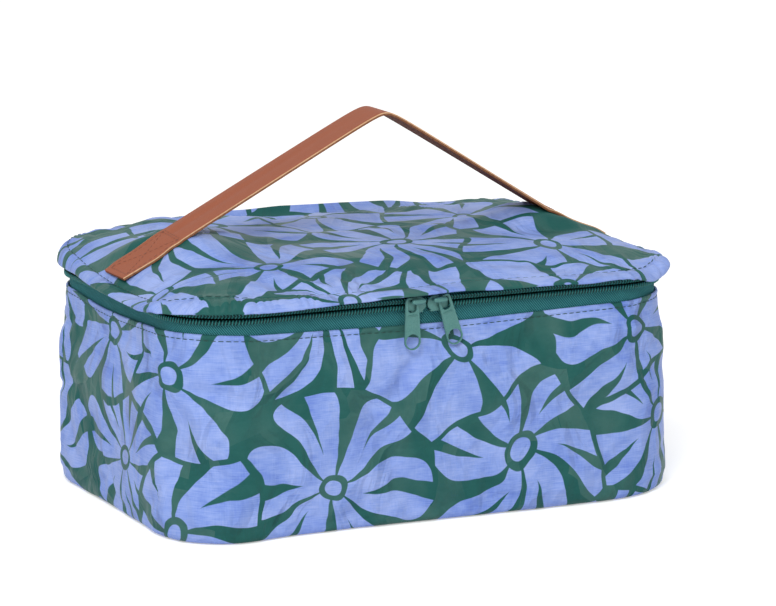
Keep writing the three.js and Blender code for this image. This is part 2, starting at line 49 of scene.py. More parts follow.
# Camera: a long lens, a little above the bag and off its left front corner.
AIM = Vector((0.01449, 0, 0.08598))
CAMERA_DISTANCE = 1.9267
CAMERA_AZIMUTH = math.radians(-25.55)
CAMERA_ELEVATION = math.radians(11.12)
towards_camera = Vector((
    math.sin(CAMERA_AZIMUTH) * math.cos(CAMERA_ELEVATION),
    -math.cos(CAMERA_AZIMUTH) * math.cos(CAMERA_ELEVATION),
    math.sin(CAMERA_ELEVATION),
))
camera = bpy.data.objects.new("camera", bpy.data.cameras.new("camera"))
camera.data.sensor_width = 36
camera.data.lens = 184.9
camera.location = AIM + towards_camera * CAMERA_DISTANCE
camera.rotation_euler = (-towards_camera).to_track_quat("-Z", "Y").to_euler()
bpy.context.scene.collection.objects.link(camera)
bpy.context.scene.camera = camera

# Wall cloth: one strip of printed, coated cloth that runs from one rear side seam round the front
# to the other. Its top edge is folded down inside as a hem that is stitched to the zip tape, and
# its foot is turned under to the base seam. Foam behind it keeps it standing with soft dents.
MM = 0.001
HALF_LENGTH = 129
HALF_DEPTH = 88
CORNER = 36
CORNER_ARC = CORNER * math.pi / 2
FRONT_END = HALF_LENGTH - CORNER
SIDE_START = FRONT_END + CORNER_ARC
SIDE_END = SIDE_START + 2 * (HALF_DEPTH - CORNER)
SIDE_SEAM = SIDE_END + CORNER_ARC
REAR_MIDDLE = SIDE_SEAM + FRONT_END
CLOTH = 0.6
HEM_FOLD = 0.7
HEM_DEPTH = 9
HEM_STITCH_BELOW = 2.7
HEM_PITCH = 3.5
BASE_FOLD = 4
BASE_FLARE = 2
TURN_UNDER = 8
HEM_HEIGHTS = [
    (-403.1, 95.2), (-310, 95.6), (-280, 96.2), (-251.5, 95.9), (-235.5, 94.9), (-222.5, 94.1),
    (-200.5, 93.9), (-175.5, 94.7), (-150, 95.9), (-125, 96.5), (-109.6, 96.3), (-91.5, 95.6),
    (-56, 94.8), (-21.5, 94.0), (9, 93.8), (38.6, 94.3), (68, 94.9), (94, 95.3), (122, 96.1),
    (150, 95.6), (200, 94.2), (252, 95.6), (280, 96.1), (310, 95.6), (403.1, 95.2),
]
# How far the foot stands out past the hem's line, besides BASE_FLARE.
FOOT_SPREAD = [
    (-403.1, 0), (-310, 0.5), (-269, 1.6), (-230, 0.6), (-160, 1), (-136, 3), (-118, 4.2), (-100, 2.4),
    (-70, -0.8), (-30, -0.6), (10, 0.8), (50, 2.6), (90, 2.4), (112, 1), (133, 1.9), (160, 1.8),
    (230, 1), (310, 0.5), (403.1, 0),
]
# Creases pressed into the wall: place round the bag, lower and upper end, how far it stands out,
# and half its width.
CREASES = [
    (-119, 24, 93, 1.5, 11), (-97, 6, 88, 1.4, 10), (-136, 2, 62, 1.1, 7), (-78, 20, 70, -0.5, 6),
    (-24, 46, 90, 0.45, 7), (-10, 8, 60, 0.5, 9), (34, 30, 84, 0.35, 9), (74, 2, 46, 0.6, 8),
    (97, 12, 86, 0.7, 7), (160, 8, 70, 0.6, 7), (-262, 6, 80, 0.8, 7),
    (-205, 4, 50, 0.5, 8), (262, 8, 78, 0.8, 7), (215, 20, 80, 0.5, 8), (360, 20, 70, 0.6, 9),
    (430, 14, 80, 0.6, 8),
]


def around(s, out=0.0, z=0.0, inset=0.0):
    """A point (mm) that is s round the bag from the middle of the front, positive towards +X.
    The outline shrinks by inset, to a ridge line at HALF_DEPTH, and the point stands out from it."""
    if abs(s) > REAR_MIDDLE:
        s -= math.copysign(2 * REAR_MIDDLE, s)
    d = abs(s)
    radius = CORNER * (1 - inset / HALF_DEPTH)
    x = HALF_LENGTH - inset - radius
    y = HALF_DEPTH - inset - radius
    if d < FRONT_END:
        x, y, angle = x * d / FRONT_END, -y, -90
    elif d < SIDE_START:
        y, angle = -y, -90 + 90 * (d - FRONT_END) / CORNER_ARC
    elif d < SIDE_END:
        y, angle = y * (2 * (d - SIDE_START) / (SIDE_END - SIDE_START) - 1), 0
    elif d < SIDE_SEAM:
        angle = 90 * (d - SIDE_END) / CORNER_ARC
    else:
        x, angle = x * (REAR_MIDDLE - d) / FRONT_END, 90
    if radius < 0.01:
        # Both sides of a panel share the points of its ridge.
        ridge_step = (HALF_LENGTH - HALF_DEPTH) / 8
        x = round(x / ridge_step) * ridge_step
    x += (radius + out) * math.cos(math.radians(angle))
    y += (radius + out) * math.sin(math.radians(angle))
    return Vector((math.copysign(x, s), y, z))


def smooth(t):
    t = min(1, max(0, t))
    return t * t * (3 - 2 * t)


def through(points, s):
    """The height at s on a smooth line through (s, height) points round the bag."""
    if abs(s) > REAR_MIDDLE:
        s -= math.copysign(2 * REAR_MIDDLE, s)
    i = min(max(bisect(points, (s, 0)), 1), len(points) - 1)
    (s0, h0), (s1, h1) = points[i - 1], points[i]
    before, after = points[max(i - 2, 0)], points[min(i + 1, len(points) - 1)]
    slope0 = (h1 - before[1]) / (s1 - before[0]) * (s1 - s0)
    slope1 = (after[1] - h0) / (after[0] - s0) * (s1 - s0)
    t = (s - s0) / (s1 - s0)
    blend = t * t * (3 - 2 * t)
    return h0 + (h1 - h0) * blend + t * (1 - t) * ((1 - t) * slope0 - t * slope1)


def hump(off, width):
    """1 where off is 0, and falling smoothly to either side."""
    return math.exp(-((off / width) ** 2))


def ripple(point, size, seed):
    """Smooth noise from -1 to 1 whose bumps are about size (mm) across."""
    return noise.noise(point / size + Vector((seed * 7.3, seed * 3.1, seed * 5.7)))


def spaced(stops):
    """Places from the first stop to the last; each stop says the pitch that leads up to it."""
    places = [stops[0][0]]
    for (start, _), (end, pitch) in zip(stops, stops[1:]):
        count = max(1, math.ceil(abs(end - start) / pitch))
        places += [start + (end - start) * (i + 1) / count for i in range(count)]
    return places


def seam_dip(s):
    """How far the cloth is drawn in at the two rear side seams."""
    off = min(abs(abs(s) - SIDE_SEAM), abs(2 * REAR_MIDDLE - abs(s) - SIDE_SEAM))
    return 0.9 * hump(off, 1.3) + 0.35 * hump(off, 5)


def foot_spread(s):
    return through(FOOT_SPREAD, s)


def finished(name, bm):
    """An object from a bmesh, smooth shaded."""
    mesh = bpy.data.meshes.new(name)
    bm.to_mesh(mesh)
    bm.free()
    mesh.shade_smooth()
    piece = bpy.data.objects.new(name, mesh)
    bpy.context.scene.collection.objects.link(piece)
    return piece


BUCKLE_FRAMES = 26
BUCKLE_LIMIT = 2.6


def buckled(name, columns, rows, place, held, spare):
    """Lets a sheet with some spare cloth buckle between the points where it is held, in a cloth
    simulation, and gives how far each of its points moved (mm)."""
    bm = bmesh.new()
    bmesh.ops.create_grid(bm, x_segments=columns, y_segments=rows, size=1)
    cells = []
    for v in bm.verts:
        cells.append((round((v.co.x + 1) / 2 * columns), round((v.co.y + 1) / 2 * rows)))
    for v, cell in zip(bm.verts, cells):
        v.co = place(*cell) * MM
    sheet = finished(name, bm)
    group = sheet.vertex_groups.new(name="held")
    group.add([i for i, cell in enumerate(cells) if held(*cell)], 1, "REPLACE")
    cloth = sheet.modifiers.new("cloth", "CLOTH")
    cloth.settings.quality = 8
    cloth.settings.mass = 0.25
    cloth.settings.air_damping = 4
    cloth.settings.bending_stiffness = 0.08
    cloth.settings.shrink_min = -spare
    cloth.settings.vertex_group_mass = "held"
    cloth.settings.effector_weights.gravity = 0
    cloth.settings.use_pressure = True
    cloth.settings.uniform_pressure_force = 0.1
    for step in range(1, BUCKLE_FRAMES + 1):
        bpy.context.scene.frame_set(step)
    settled = sheet.evaluated_get(bpy.context.evaluated_depsgraph_get()).to_mesh()
    moved = [[Vector()] * (rows + 1) for _ in range(columns + 1)]
    for (column, row), before, after in zip(cells, sheet.data.vertices, settled.vertices):
        moved[column][row] = (after.co - before.co) / MM
    bpy.data.objects.remove(sheet)
    bpy.context.scene.frame_set(1)
    return moved


def cubic(a, b, c, d, t):
    """A smooth curve from b to c, which heads as a and d say."""
    return b + 0.5 * t * (c - a + t * (2 * a - 5 * b + 4 * c - d + t * (3 * (b - c) + d - a)))


def sampled(heights, column, row):
    """A height between the points of a grid of heights."""
    last_column, last_row = len(heights) - 1, len(heights[0]) - 1
    i = min(max(math.floor(column), 0), last_column - 1)
    j = min(max(math.floor(row), 0), last_row - 1)
    columns = [heights[min(max(i + k, 0), last_column)] for k in (-1, 0, 1, 2)]
    rows = [min(max(j + k, 0), last_row) for k in (-1, 0, 1, 2)]
    return cubic(*(cubic(*(line[k] for k in rows), row - j) for line in columns), column - i)


def capped(height):
    """A buckle's height (mm), eased so that it stays under BUCKLE_LIMIT."""
    return BUCKLE_LIMIT * math.tanh(height / BUCKLE_LIMIT)


# The wall and the back buckle between the hem, the foot and the two side seams.
BUCKLE_CELL = 3.9
BUCKLE_LOW = 5
BUCKLE_HIGH = 86
WALL_SPARE = 0.045


def wall_buckles(name, start, end):
    """How far the cloth stands out from a smooth wall, on a grid between two places."""
    columns = round((end - start) / BUCKLE_CELL)
    rows = round((BUCKLE_HIGH - BUCKLE_LOW) / BUCKLE_CELL)

    def at(column):
        return start + (end - start) * column / columns

    def place(column, row):
        z = BUCKLE_LOW + (BUCKLE_HIGH - BUCKLE_LOW) * row / rows
        belly = math.sin(math.pi * row / rows)
        return around(at(column), 1.5 * belly + 0.8 * ripple(around(at(column), 0, z), 22, 21) * belly, z)

    def held(column, row):
        return row in (0, rows) or column in (0, columns)

    moved = buckled(name, columns, rows, place, held, WALL_SPARE)
    heights = []
    for column, line in enumerate(moved):
        outward = (around(at(column), 10) - around(at(column))).normalized()
        heights.append([capped(move.dot(outward)) for move in line])
    return start, (end - start) / columns, heights


front_buckles = wall_buckles("wall_buckling", -SIDE_SEAM, SIDE_SEAM)
back_buckles = wall_buckles("back_buckling", SIDE_SEAM, 2 * REAR_MIDDLE - SIDE_SEAM)


def buckle(s, z):
    """How far (mm) the wall or the back has buckled at a place and height."""
    start, cell, heights = front_buckles if abs(s) <= SIDE_SEAM else back_buckles
    if s < -SIDE_SEAM:
        s += 2 * REAR_MIDDLE
    row = (z - BUCKLE_LOW) / (BUCKLE_HIGH - BUCKLE_LOW) * (len(heights[0]) - 1)
    if not 0 < row < len(heights[0]) - 1:
        return 0
    return sampled(heights, (s - start) / cell, row)


def wall_out(s, z):
    """How far (mm) the wall stands out from the line of the hem at height z."""
    p = around(s, 0, z)
    held = smooth((94 - z) / 22) * smooth((z + 2) / 14)
    out = 1.4 * smooth((92 - z) / 32) + foot_spread(s) * smooth((34 - z) / 28)
    # The right front corner is filled out, and its cloth lies smoother than elsewhere.
    filled = hump(s - 135, 17)
    taut = 1 - 0.65 * filled
    out += 1.5 * filled * held
    out += taut * held * (0.9 * ripple(p, 46, 1) + 0.35 * ripple(p, 21, 2) + 0.3 * ripple(p, 9, 3))
    out += taut * buckle(s, z)
    for place, low, high, height, width in CREASES:
        reach = abs(s - place + 0.06 * (z - low)) / width
        if reach < 1:
            along = smooth((z - low) / 14) * smooth((high - z) / 14)
            out += height * along * (1 - reach) ** 1.6
    # The hem's cloth is gathered under its stitches, drawn in by them, and puckered over them.
    below = through(HEM_HEIGHTS, s) - z
    if below < 14:
        gathers = abs(ripple(Vector((s, 0, 0)), 5.5, 4)) - 0.25
        out += 0.7 * gathers * hump(below - 5.5, 4)
        out -= 0.42 * hump(below - HEM_STITCH_BELOW, 0.7)
        out += 0.1 * math.sin(s * 2 * math.pi / HEM_PITCH) * hump(below - 1, 1.2)
    return out - seam_dip(s)


def wall_point(s, row, depth=0.0):
    """A point of the wall cloth, depth behind its outside, and its place on the flat cloth."""
    part, value = row
    top = through(HEM_HEIGHTS, s)
    if part == "under":
        inner = BASE_FLARE - BASE_FOLD - TURN_UNDER
        return around(s, inner + (TURN_UNDER + foot_spread(s)) * value, depth), (
            s, BASE_FOLD * (1 - math.pi / 2) - TURN_UNDER * (1 - value), 0)
    if part == "fold":
        angle = math.radians(value)
        dip = 0.5 * ripple(around(s), 14, 5) * math.sin(2 * angle)
        flare = BASE_FLARE + foot_spread(s)
        out = flare - BASE_FOLD + (BASE_FOLD - depth + dip) * math.cos(angle)
        out += (wall_out(s, BASE_FOLD) - flare) * math.cos(angle) ** 2
        return around(s, out, BASE_FOLD - (BASE_FOLD - depth + dip) * math.sin(angle)), (
            s, BASE_FOLD * (1 - angle), 0)
    if part == "wall":
        z = BASE_FOLD + value * (top - 8 - BASE_FOLD)
        return around(s, wall_out(s, z) - depth, z), (s, z, 0)
    if part == "below":
        z = top - value
        return around(s, wall_out(s, z) - depth, z), (s, z, 0)
    edge = wall_out(s, top - HEM_FOLD)
    if part == "hem":
        angle = math.radians(value)
        return around(s, edge + HEM_FOLD * (math.cos(angle) - 1), top + HEM_FOLD * (
            math.sin(angle) - 1)), (s, top + HEM_FOLD * (angle - 1), 0)
    return around(s, -2 * HEM_FOLD, top - value), (s, top + HEM_FOLD * (math.pi - 2) + value, 0)


def cloth(name, across, up, place, thickness, outward=-1):
    """A sheet whose columns stand at the places across and whose rows are those of up."""
    bm = bmesh.new()
    columns, rows = len(across) - 1, len(up) - 1
    bmesh.ops.create_grid(bm, x_segments=columns, y_segments=rows, size=1)
    flat = bm.verts.layers.float_vector.new("flat")
    for v in bm.verts:
        column = round((v.co.x + 1) / 2 * columns)
        row = round((v.co.y + 1) / 2 * rows)
        point, v[flat] = place(across[column], up[row])
        v.co = point * MM
    bmesh.ops.remove_doubles(bm, verts=bm.verts, dist=0.01 * MM)
    piece = finished(name, bm)
    solidify = piece.modifiers.new("thickness", "SOLIDIFY")
    solidify.thickness = thickness * MM
    solidify.offset = outward
    return piece


class Wire:
    """One output of a node. Sums and products of wires add Math nodes."""

    def __init__(self, nodes, socket):
        self.nodes = nodes
        self.socket = socket

    def math(self, operation, *others):
        return self.nodes.node("ShaderNodeMath", {"operation": operation}, [self, *others])

    def __add__(self, other):
        return self.math("ADD", other)

    def __sub__(self, other):
        return self.math("SUBTRACT", other)

    def __mul__(self, other):
        return self.math("MULTIPLY", other)

    def __truediv__(self, other):
        return self.math("DIVIDE", other)

    def __rsub__(self, other):
        return self.nodes.node("ShaderNodeMath", {"operation": "SUBTRACT"}, [other, self])

    def __rtruediv__(self, other):
        return self.nodes.node("ShaderNodeMath", {"operation": "DIVIDE"}, [other, self])

    def __pow__(self, other):
        return self.math("POWER", other)

    __radd__ = __add__
    __rmul__ = __mul__

    def clamped(self):
        """This, kept from 0 to 1."""
        return self.math("MAXIMUM", 0).math("MINIMUM", 1)

    def below(self, limit, soft):
        """1 where this is under limit, 0 where it is over, with a soft edge."""
        return self.nodes.node("ShaderNodeMapRange", {"interpolation_type": "SMOOTHSTEP"}, [
            self, limit - soft, limit + soft, 1.0, 0.0])


class Nodes:
    """A node tree in the making."""

    def __init__(self, tree):
        self.tree = tree

    def wires(self, made, *outputs):
        """Some outputs of a node."""
        return [Wire(self, made.outputs[output]) for output in outputs]

    def node(self, kind, settings, inputs, output=0):
        """Adds a node; settings come first, then each input gets a value or a wire."""
        made = self.tree.nodes.new(kind)
        for key, value in settings.items():
            if key == "stops":
                ramp = made.color_ramp.elements
                while len(ramp) < len(value):
                    ramp.new(1)
                for stop, (position, colour) in zip(ramp, value):
                    stop.position, stop.color = position, colour
            else:
                setattr(made, key, value)
        pairs = inputs.items() if isinstance(inputs, dict) else enumerate(inputs)
        for key, value in pairs:
            if isinstance(value, Wire):
                self.tree.links.new(value.socket, made.inputs[key])
            else:
                made.inputs[key].default_value = value
        if output is None:
            return made
        return Wire(self, made.outputs[output])


class Finish(Nodes):
    """A material in the making, with a Principled shader."""

    def __init__(self, name, **constants):
        self.material = bpy.data.materials.new(name)
        self.material.use_nodes = True
        super().__init__(self.material.node_tree)
        self.shader = self.tree.nodes["Principled BSDF"]
        for socket, value in constants.items():
            self.shader.inputs[socket.replace("_", " ")].default_value = value

    def flat(self):
        """The place (mm) on the cloth as it was cut."""
        return self.node("ShaderNodeAttribute", {"attribute_name": "flat"}, [], "Vector")

    def place(self):
        """The place (m) on the piece."""
        return self.node("ShaderNodeTexCoord", {}, [], "Object")

    def split(self, where):
        """The x, y and z of a place."""
        return self.wires(self.node("ShaderNodeSeparateXYZ", {}, [where], None), 0, 1, 2)

    def vector(self, operation, *inputs, output=0):
        return self.node("ShaderNodeVectorMath", {"operation": operation}, list(inputs), output)

    def grain(self, where, stretch, detail, roughness=0.5):
        """Noise from 0 to 1; stretch is its size along each axis, in the units of where."""
        scaled = self.vector("MULTIPLY", where, [1 / size for size in stretch])
        return self.node("ShaderNodeTexNoise", {}, {
            "Vector": scaled, "Scale": 1.0, "Detail": detail, "Roughness": roughness}, "Fac")

    def sway(self, where, size):
        """Smooth waves, size (mm) across, from -0.5 to 0.5 along each axis."""
        waves = self.node("ShaderNodeTexNoise", {}, {
            "Vector": where, "Scale": 1 / size, "Detail": 0.0}, "Color")
        return self.vector("SUBTRACT", waves, (0.5, 0.5, 0.5))

    def strayed(self, where, sway, reach):
        """A place that a sway carries up to half of reach (mm) over the cloth."""
        return self.vector("ADD", where, self.vector("MULTIPLY", sway, (reach, reach, 0)))

    def strewn(self, where, spacing, scatter, output=None, **settings):
        """Cells round points that are strewn over the cloth, about spacing (mm) apart."""
        return self.node("ShaderNodeTexVoronoi", {"voronoi_dimensions": "2D", **settings}, {
            "Vector": where, "Scale": 1 / spacing, "Randomness": scatter}, output)

    def mix(self, share, first, second):
        return self.node("ShaderNodeMix", {"data_type": "RGBA"}, {
            0: share, 6: first, 7: second}, 2)

    def bump(self, height, distance):
        """Relief: a height of 1 stands out by distance (mm)."""
        return self.node("ShaderNodeBump", {}, {
            "Height": height, "Distance": distance * MM, "Strength": 1.0})

    def done(self, **wires):
        """Links wires to the shader, and gives the material."""
        for socket, wire in wires.items():
            self.tree.links.new(wire.socket, self.shader.inputs[socket.replace("_", " ")])
        return self.material


PRINT_BLUE = (0.240, 0.345, 0.735, 1)
PRINT_BLUE_PALE = (0.345, 0.445, 0.810, 1)
PRINT_BLUE_DEEP = (0.150, 0.240, 0.650, 1)
PRINT_GREEN = (0.013, 0.092, 0.084, 1)
PRINT_GREEN_PALE = (0.026, 0.122, 0.108, 1)
# The pale grey-green of the painted sheen on the green ground.
PRINT_GREEN_PAINTED_SHEEN = (0.075, 0.170, 0.150, 1)
# Spacing (mm) and scatter of the blossoms, and of the small pieces between them.
BLOSSOMS = 74, 0.62
SCRAPS = 15, 0.8
# Half the gap (mm) that neighbours keep, and the radius of a heart and of the dot in it.
PAPER_GAP = 1.3
HEART = 7.4
HEART_DOT = 4.4


def print_finish():
    """Coated cloth printed with large blue blossoms on dark green, as if cut from paper."""
    finish = Finish("printed_cloth", Specular_IOR_Level=0.09)
    where = finish.flat()
    # The blossoms' edges bend a little, like long scissor cuts.
    wander = finish.sway(where, 34)
    drawn = finish.strayed(finish.strayed(where, wander, 19), finish.sway(where, 7), 1.1)
    drawn = finish.vector("MULTIPLY", drawn, (1, 1, 0))
    chance, middle = finish.wires(finish.strewn(drawn, *BLOSSOMS), "Color", "Position")
    edge = finish.strewn(drawn, *BLOSSOMS, "Distance", feature="DISTANCE_TO_EDGE") * BLOSSOMS[0]
    turn, kind, size = finish.wires(
        finish.node("ShaderNodeSeparateColor", {}, [chance], None), 0, 1, 2)
    local = finish.vector("SUBTRACT", drawn, middle)
    x, y, _ = finish.split(local)
    radius = finish.vector("LENGTH", local, output="Value")
    petals = (kind * 3).math("FLOOR") + 5
    sector = 2 * math.pi / petals.math("MAXIMUM", 1)
    # Each blossom's petals curl one way, some more than others.
    curl = radius * (size - 0.35) * 0.016
    heading = y.math("ARCTAN2", x) + turn * 6.28 + 20 + curl
    off_axis = heading.math("FLOORED_MODULO", sector) - sector * 0.5
    along = radius * off_axis.math("COSINE")
    across = radius * off_axis.math("SINE")
    share = (along / (size * 8 + 44)).math("MAXIMUM", 0.001).math("MINIMUM", 1)
    width = share ** 0.9 * (1 - share ** 6).math("SQRT") * sector * 18.5
    petal = (across.math("ABSOLUTE") - width).below(0, 0.2)
    # In most blossoms a long cut opens each petal from its tip.
    cut_middle = (along - 14) * (along - 14) * 0.004 - 0.6
    slit = ((across - cut_middle).math("ABSOLUTE") - (along - 17) * 0.125).below(0, 0.2)
    slit = slit * (17 - along).below(0, 0.2) * (0.25 - turn).below(0, 0.01)
    heart = (radius - HEART).below(0, 0.2)
    dot = (radius - HEART_DOT).below(0, 0.2)
    blue = petal * (1 - slit) * (1 - heart)
    blue = blue.math("MAXIMUM", dot) * (PAPER_GAP - edge).below(0, 0.2)
    # Small cut pieces lie in the corners between the blossoms.
    scrap = finish.strewn(drawn, *SCRAPS, "Position")
    scrap_edge = finish.strewn(drawn, *SCRAPS, "Distance", feature="DISTANCE_TO_EDGE") * SCRAPS[0]
    far = finish.vector("DISTANCE", scrap, finish.strewn(scrap, *BLOSSOMS, "Position"), output="Value")
    filler = (54 - far).below(0, 0.5) * (1.5 - scrap_edge).below(0, 0.25)
    blue = blue.math("MAXIMUM", filler * (PAPER_GAP - edge).below(0, 0.25))
    # The woven ground shows through the ink as fine threads both ways, over a brushed mottle.
    weft = finish.grain(where, (9, 0.5, 1), 2)
    warp = finish.grain(where, (0.5, 7, 1), 2)
    mottle = finish.grain(where, (9, 7, 9), 3, 0.6)
    cloudy = finish.grain(where, (40, 30, 30), 1)
    tone = weft * 0.62 + warp * 0.24 + mottle * 0.6 + cloudy * 0.85 - 0.625
    blues = finish.node("ShaderNodeValToRGB", {"stops": [
        (0.26, PRINT_BLUE_DEEP), (0.50, PRINT_BLUE), (0.76, PRINT_BLUE_PALE)]}, [tone])
    greens = finish.node("ShaderNodeValToRGB", {"stops": [
        (0.30, PRINT_GREEN), (0.80, PRINT_GREEN_PALE)]}, [mottle * 0.5 + weft * 0.2 + cloudy * 0.3])
    # The coating takes creases as paper does: flat facets that meet in folds. Its pale patches are
    # painted sheen, where the gloss would catch the light, some facets more than others.
    bent = finish.strayed(where, wander, 30)
    facets = finish.node("ShaderNodeTexVoronoi", {"distance": "CHEBYCHEV"}, {
        "Vector": finish.vector("MULTIPLY", bent, (1 / 25, 1 / 44, 0)), "Scale": 1.0}, None)
    facet_tone, facet_depth = finish.wires(facets, "Color", "Distance")
    shade = finish.node("ShaderNodeSeparateColor", {}, [facet_tone])
    # Painted sheen: a mask of pale patches from stretched noise and the facets' random tones.
    wear_and_sheen = finish.grain(where, (26, 60, 20), 1.5) * 4.5 + shade * 2.2 - 2.9
    wear_and_sheen = wear_and_sheen.clamped() * (mottle * 0.9 + 0.15)
    greens = finish.mix(wear_and_sheen * 0.8, greens, PRINT_GREEN_PAINTED_SHEEN)
    blues = finish.mix(wear_and_sheen * 0.25, blues, PRINT_BLUE_PALE)
    colour = finish.mix(blue, greens, blues)
    crumple = finish.grain(where, (7, 10, 7), 4, 0.6)
    bits = finish.node("ShaderNodeTexVoronoi", {"distance": "MANHATTAN"}, {
        "Vector": finish.vector("MULTIPLY", bent, (1 / 10, 1 / 16, 0)), "Scale": 1.0}, "Distance")
    height = facet_depth * 5.5 + bits * 1.2 + crumple * 0.35
    normal = finish.bump(height + (weft * 0.6 + warp * 0.4) * 0.035, 1)
    roughness = mottle * 0.2 + wear_and_sheen * -0.08 + 0.36
    return finish.done(Base_Color=colour, Roughness=roughness, Normal=normal)


printed_cloth = print_finish()


def dress(piece, material, slot, body, *nodes):
    """Gives a piece its material, lets it ride on a body, if any, and stand for CAD nodes; slot is not
    used.
    """
    piece.data.materials.append(material)
    if body:
        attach(piece, body)
    if nodes:
        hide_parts(*nodes)


WALL_ROWS = (
    [("under", 0), ("under", 0.5), ("under", 1)]
    + [("fold", 90 - 15 * i) for i in range(1, 7)]
    + [("wall", i / 36) for i in range(1, 37)]
    + [("below", b) for b in (7, 6.1, 5.3, 4.6, 4, 3.5, 3.1, 2.7, 2.3, 1.9, 1.5, 1.1)]
    + [("hem", 45 * i) for i in range(5)]
    + [("inside", b) for b in (2.5, 5, 7, HEM_DEPTH)]
)
SEAM_GAP = 0.03


def panel_places(start, end, pitch):
    """Places across a panel, closer together at its two seams."""
    return spaced([(start, 1), (start + 6, 0.7), (end - 6, pitch), (end, 0.7)])


wall_ends = SIDE_SEAM - SEAM_GAP
wall_places = panel_places(-wall_ends, wall_ends, 1.75)
wall_cloth = cloth("wall_cloth", wall_places, WALL_ROWS, wall_point, CLOTH)
dress(wall_cloth, printed_cloth, "printed_cloth", "body", "wall_panel")

# Back cloth: a second panel of the same cloth across the rear, hemmed and turned under as the wall
# is. It is sewn to the wall's ends in the two side seams, which draw the cloth in.
back_places = panel_places(SIDE_SEAM + SEAM_GAP, 2 * REAR_MIDDLE - SIDE_SEAM - SEAM_GAP, 2.2)
back_cloth = cloth("back_cloth", back_places, WALL_ROWS, wall_point, CLOTH)
dress(back_cloth, printed_cloth, "printed_cloth", "body", "back_panel")

# Base cloth: a flat panel under the bag, sewn edge to edge with the foot of the walls. It lies on
# the table, and the stiff board above it keeps it flat.
BASE_GAP = 0.3
base_edge = BASE_FLARE - BASE_FOLD - TURN_UNDER - BASE_GAP


def base_point(s, share):
    point = around(s, base_edge * (1 - share), 0, HALF_DEPTH * share)
    point.z = 0.35 * smooth(1 - share * 12) + 0.12 * (1 + ripple(point, 24, 6))
    return point, (point.x + 700, point.y, 0)


ring_places = spaced([(REAR_MIDDLE, 1), (-REAR_MIDDLE, 4)])
base_cloth = cloth("base_cloth", ring_places, spaced([(0, 1), (0.08, 0.02), (1, 0.08)]), base_point, CLOTH)
dress(base_cloth, printed_cloth, "printed_cloth", "body", "base_panel")

# Lid cloth: one panel over the top. Past its stitch line it goes on as a rain flap, folded double
# at the edge, which hoods the zip. The stitching gathers it, most of all round the corners, and the
# handle pulls it up into a low tent at each end.
STITCH_OUT = -1
FLAP_FOLD = 0.65
LID_SEAM = [
    (-403.1, 115.6), (-340, 115.9), (-310, 116.3), (-290, 115.9), (-270, 115), (-252, 113.6), (-238, 111.2),
    (-221, 109.2), (-195, 107.3), (-172, 107.0), (-150, 108.2), (-130, 111.2), (-110, 113.6),
    (-93, 112.8), (-58, 111.8), (-21, 111.3), (18, 111.9), (40, 111.4), (62, 110.7), (80, 110.4),
    (95, 110.0), (115, 110.2), (133, 110.9), (150, 111.4), (172, 111.8), (200, 111.4), (250, 114.4),
    (280, 116.4), (320, 116.6), (360, 116.2), (403.1, 115.6),
]
# Where the flap ends: its reach past the stitch line, and the height of its edge.
FLAP_REACH = [
    (-403.1, 8), (-330, 7.4), (-305, 6.2), (-270, 5.2), (-240, 5.4), (-215, 6.6), (-160, 8),
    (90, 8.2), (104, 6.8), (120, 4.8), (135, 4.4), (160, 5.2), (200, 6.6), (260, 6.6), (300, 6.4),
    (330, 7.4), (403.1, 8),
]
FLAP_EDGE = [
    (-403.1, 119.5), (-350, 118.5), (-322, 115), (-300, 110.6), (-280, 108.2), (-262, 107.2),
    (-240, 106.4), (-206, 105.3), (-175, 105.1), (-150, 105.5), (-139, 106), (-116, 107.8),
    (-84, 108.0), (-45, 109.1), (-23, 109.8), (2, 110.2), (29, 109.2), (56, 108.6), (75, 108.3),
    (90, 108.5), (98, 107.4), (108, 105), (120, 104), (150, 104.2), (200, 105.3), (250, 107), (280, 109.5),
    (310, 114.5), (337, 117.8), (380, 119.3), (403.1, 119.5),
]
# Where the flap hoods over: 0 is an awning that droops at its edge, and 1 a quarter round.
FLAP_HOOD = [
    (-403.1, 0.1), (-340, 0.3), (-305, 0.9), (-245, 1), (-215, 0.5), (-170, 0.3), (-100, 0.3),
    (-60, 0.1), (60, 0.15), (95, 0.5), (115, 1), (160, 1), (210, 0.8), (260, 0.9), (300, 0.8),
    (340, 0.3), (403.1, 0.1),
]
CROWN = 9.5
STRAP_END = 127.2
SEWN_END = 96.5
STRAP_HALF_WIDTH = 11.8
LID_SPARE = 0.035
LID_CELL = 4.3
LID_COLUMNS = 60
LID_LINES = 41


def lid_buckles():
    """How the lid's cloth rises and dips between its stitch line and the handle's sewn ends."""
    def spot(column, row):
        return (column - LID_COLUMNS / 2) * LID_CELL, (row - LID_LINES / 2) * LID_CELL

    def place(column, row):
        x, y = spot(column, row)
        u, v = min(1, abs(x) / HALF_LENGTH), min(1, abs(y) / HALF_DEPTH)
        dome = CROWN * (1 - u ** 6) * (1 - v ** 3)
        return Vector((x, y, dome + 0.8 * ripple(Vector((x, y, 0)), 24, 22)))

    def held(column, row):
        x, y = spot(column, row)
        corner = math.hypot(max(0, abs(x) - HALF_LENGTH + CORNER), max(0, abs(y) - HALF_DEPTH + CORNER))
        return corner > CORNER - 4 or (abs(x) > SEWN_END and abs(y) < STRAP_HALF_WIDTH)

    moved = buckled("lid_buckling", LID_COLUMNS, LID_LINES, place, held, LID_SPARE)
    return [[capped(move.z) for move in line] for line in moved]


lid_rises = lid_buckles()


def lid_edge_height(y):
    """Height (mm) of a smooth lid's stitch line: low half way along the sides, high behind."""
    v = y / HALF_DEPTH
    return 108.6 + 1.75 * v + 5.15 * v * v


